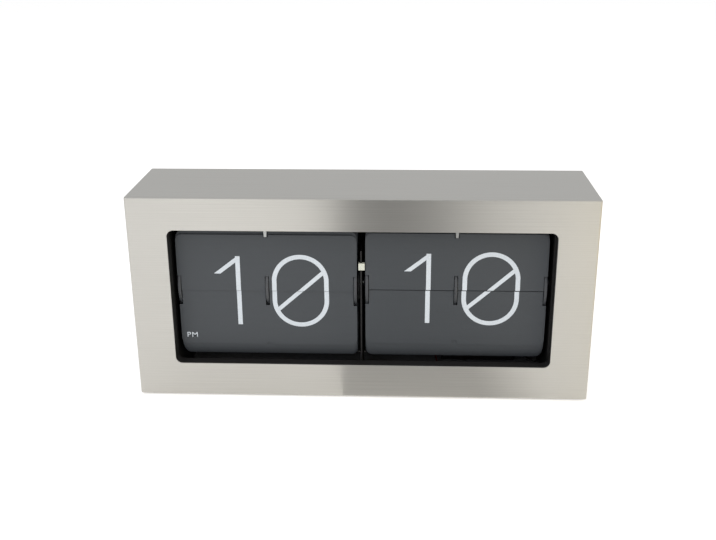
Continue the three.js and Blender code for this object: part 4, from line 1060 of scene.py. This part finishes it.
# Lacquered jacket: plain blue grey over steel, with a soft metallic sheen. A pale ring marks the nub's end.
mark_place = 5 * mm
mark_width = 2 * mm
material, tree = new_material("lacquered_cell_jacket")
where = add_node(tree, "ShaderNodeTexCoord")
axes = add_node(tree, "ShaderNodeSeparateXYZ", {"Vector": where.outputs["Object"]})
mark = add_node(tree, "ShaderNodeMath",
                {0: axes.outputs["X"], 1: cell_start.x + mark_place, 2: mark_width / 2}, operation="COMPARE")
mist = add_node(tree, "ShaderNodeTexNoise",
                {"Vector": where.outputs["Object"], "Scale": 0.3 / mm, "Detail": 2})
rough = add_node(tree, "ShaderNodeMapRange", {"Value": mist.outputs[0], "To Min": 0.25, "To Max": 0.4})
colour = add_node(tree, "ShaderNodeMix",
                  {"Factor": mark.outputs[0], "A": linear("56636f"), "B": linear("c9ccce")}, data_type="RGBA")
shader = add_node(tree, "ShaderNodeBsdfPrincipled", {
    "Base Color": colour.outputs["Result"],
    "Metallic": 0.6,
    "Roughness": rough.outputs[0],
    "Coat Weight": 0.5,
})
finish_material(tree, shader.outputs[0])
dress(cell, material, "clock_frame", "cell_metal", "battery")


def off_axis(point):
    return math.hypot(point.y - cell_start.y, point.z - cell_start.z)


end_radius = cell_radius - 1.6 * crimp
ring_radius = cell_radius - 1.9 * crimp
paint(cell, zinc_plate, lambda centre: off_axis(centre) < end_radius)
paint(cell, black_abs, lambda centre: cap_radius < off_axis(centre) < ring_radius
      and centre.x < cell_start.x + cell_length / 2)


# Contacts and leads
# The battery's contacts are nickel-plated spring steel. Two stranded leads in PVC insulation run from them
# along the tray to the board.

nickel_plate = plated("nickel_plated_spring_steel", "c8c2b2", roughness=0.3, patch=1.2)
finished("contact_spring", 0.08 * mm, nickel_plate, "clock_frame", "brass")
finished("contact_plate", 0.08 * mm, nickel_plate, "clock_frame", "brass")
black_pvc = moulded("black_pvc_insulation", "161616", grit=1.1, roughness=0.4, relief=0.01)
red_pvc = moulded("dark_red_pvc_insulation", "4a1210", grit=1.1, roughness=0.4, relief=0.01)
finished("lead_negative", 0, black_pvc, "clock_frame", "lead_black", soft_below=65)
finished("lead_positive", 0, red_pvc, "clock_frame", "lead_red", soft_below=65)


# Circuit board
# A small board of glass-reinforced epoxy stands off the right end plate. It carries the clock chip, a potted
# crystal can and nothing else, under green solder mask.

board_low, board_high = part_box("circuit_board")
standoff = 2 * mm
board_thickness = 1.6 * mm
board_face = board_low.x + standoff + board_thickness
crystal_depth = 7 * mm
crystal_level = 9 * mm
hair = 0.05 * mm
track_width = 0.3 * mm
track_length = 6 * mm
track_pitch = 2.5 * mm

material, tree = new_material("green_solder_mask")
where = add_node(tree, "ShaderNodeTexCoord")
flat = add_node(tree, "ShaderNodeMapping",
                {"Vector": where.outputs["Object"], "Rotation": (0, math.radians(90), 0)})
tracks = add_node(tree, "ShaderNodeTexBrick", {
    "Vector": flat.outputs[0], "Scale": 1,
    "Color1": linear("1d4a2b"), "Color2": linear("1d4a2b"), "Mortar": linear("2f6b40"),
    "Mortar Size": track_width, "Brick Width": track_length, "Row Height": track_pitch,
})
shader = add_node(tree, "ShaderNodeBsdfPrincipled",
                  {"Base Color": tracks.outputs[0], "Roughness": 0.35, "IOR": 1.5})
finish_material(tree, shader.outputs[0])
board = finished("circuit_board", 0.12 * mm, material, "clock_frame", "board")
paint(board, black_abs, lambda centre: centre.x > board_face + hair)
paint(board, zinc_plate, lambda centre: centre.x > board_face + hair
      and centre.y > board_high.y - crystal_depth and centre.z > board_low.z + crystal_level)
paint(board, zinc_plate, lambda centre: centre.x < board_low.x + standoff - hair)


# Screws
# Cross-recessed pan head screws, M3, zinc plated. Four hold the back cover, and four hold the plates to the
# tray and reach down into the feet.

head_radius = 2.8 * mm
head_height = 1.8 * mm
shank_radius = 1.5 * mm
recess_width = 0.9 * mm
recess_reach = 1.7 * mm
recess_depth = 1.1 * mm
recess_top = 3 * mm
recess_taper = 0.5
tip_chamfer = 0.4 * mm
head_curve = ((0.35, 1), (0.7, 0.86), (0.93, 0.55))


def screw(name, length):
    """A screw whose head's underside is at the origin, with its head upwards."""
    outline = [
        (-length, 0), (-length, shank_radius - tip_chamfer), (tip_chamfer - length, shank_radius),
        (0, shank_radius), (0, head_radius),
        *[(head_height * rise, head_radius * reach) for rise, reach in head_curve],
        (head_height, 0),
    ]
    made = turned(name, outline, (0, 0, 0), "Z", 32)
    half, deep = recess_width / 2, head_height - recess_depth
    arms = [
        block("recess", (-recess_reach, -half, deep), (recess_reach, half, recess_top)),
        block("recess", (-half, -recess_reach, deep), (half, recess_reach, recess_top)),
    ]
    for arm in arms:
        edit(arm, "faces", lambda centre, normal: normal.z < -0.9)
        bpy.ops.transform.resize(value=(recess_taper, recess_taper, 1))
        done()
    cut(made, *arms)
    smooth(made, 35)
    return made


# The back screws' heads point to the rear, and the tray screws' up. Each screw was driven a different turn:
# the first one's and the step to the next are in degrees.
for kind, ahead, tilt, first_turn, next_turn in (
    ("back_screw", Vector((0, 1, 0)), -90, 17, 31),
    ("tray_screw", Vector((0, 0, 1)), 0, 5, 23),
):
    low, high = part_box(kind + "_1")
    pattern = screw("pattern", (high - low).dot(ahead) - head_height)
    for i in range(4):
        node = f"{kind}_{i + 1}"
        low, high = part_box(node)
        seat = (low + high) / 2 + ahead * ((high - low).dot(ahead) / 2 - head_height)
        turn = Matrix.Rotation(math.radians(first_turn + next_turn * i), 4, "Z")
        made = copy_of(pattern)
        made.name = node + "_finished"
        made.data.transform(Matrix.Translation(seat) @ Matrix.Rotation(math.radians(tilt), 4, "X") @ turn)
        dress(made, zinc_plate, "clock_frame", "zinc_steel", node)
    bpy.data.objects.remove(pattern)


# Feet
# Four thin black rubber pads, glued under the corners of the case. Each has a blind hole on top, in which its
# tray screw ends.

foot_low, foot_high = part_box("foot_1")
foot_radius = (foot_high.x - foot_low.x) / 2
foot_height = foot_high.z - foot_low.z
foot_edge = 0.35 * mm
blind_radius = 1.8 * mm
blind_floor = 0.6 * mm

outline = [
    (0, 0), (0, foot_radius - foot_edge), (foot_edge, foot_radius), (foot_height, foot_radius),
    (foot_height, blind_radius), (blind_floor, blind_radius), (blind_floor, 0),
]
pattern = turned("pattern", outline, (0, 0, 0), "Z", 48)
round_edges(pattern, 0.12 * mm, 40)
smooth(pattern)
rubber = moulded("black_rubber", "202020", grit=0.8, roughness=0.78, relief=0.08)
for i in range(4):
    node = f"foot_{i + 1}"
    low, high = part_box(node)
    foot = copy_of(pattern)
    foot.name = node + "_finished"
    foot.data.transform(Matrix.Translation(((low.x + high.x) / 2, (low.y + high.y) / 2, low.z)))
    dress(foot, rubber, "clock_frame", "foot_rubber", node)
bpy.data.objects.remove(pattern)
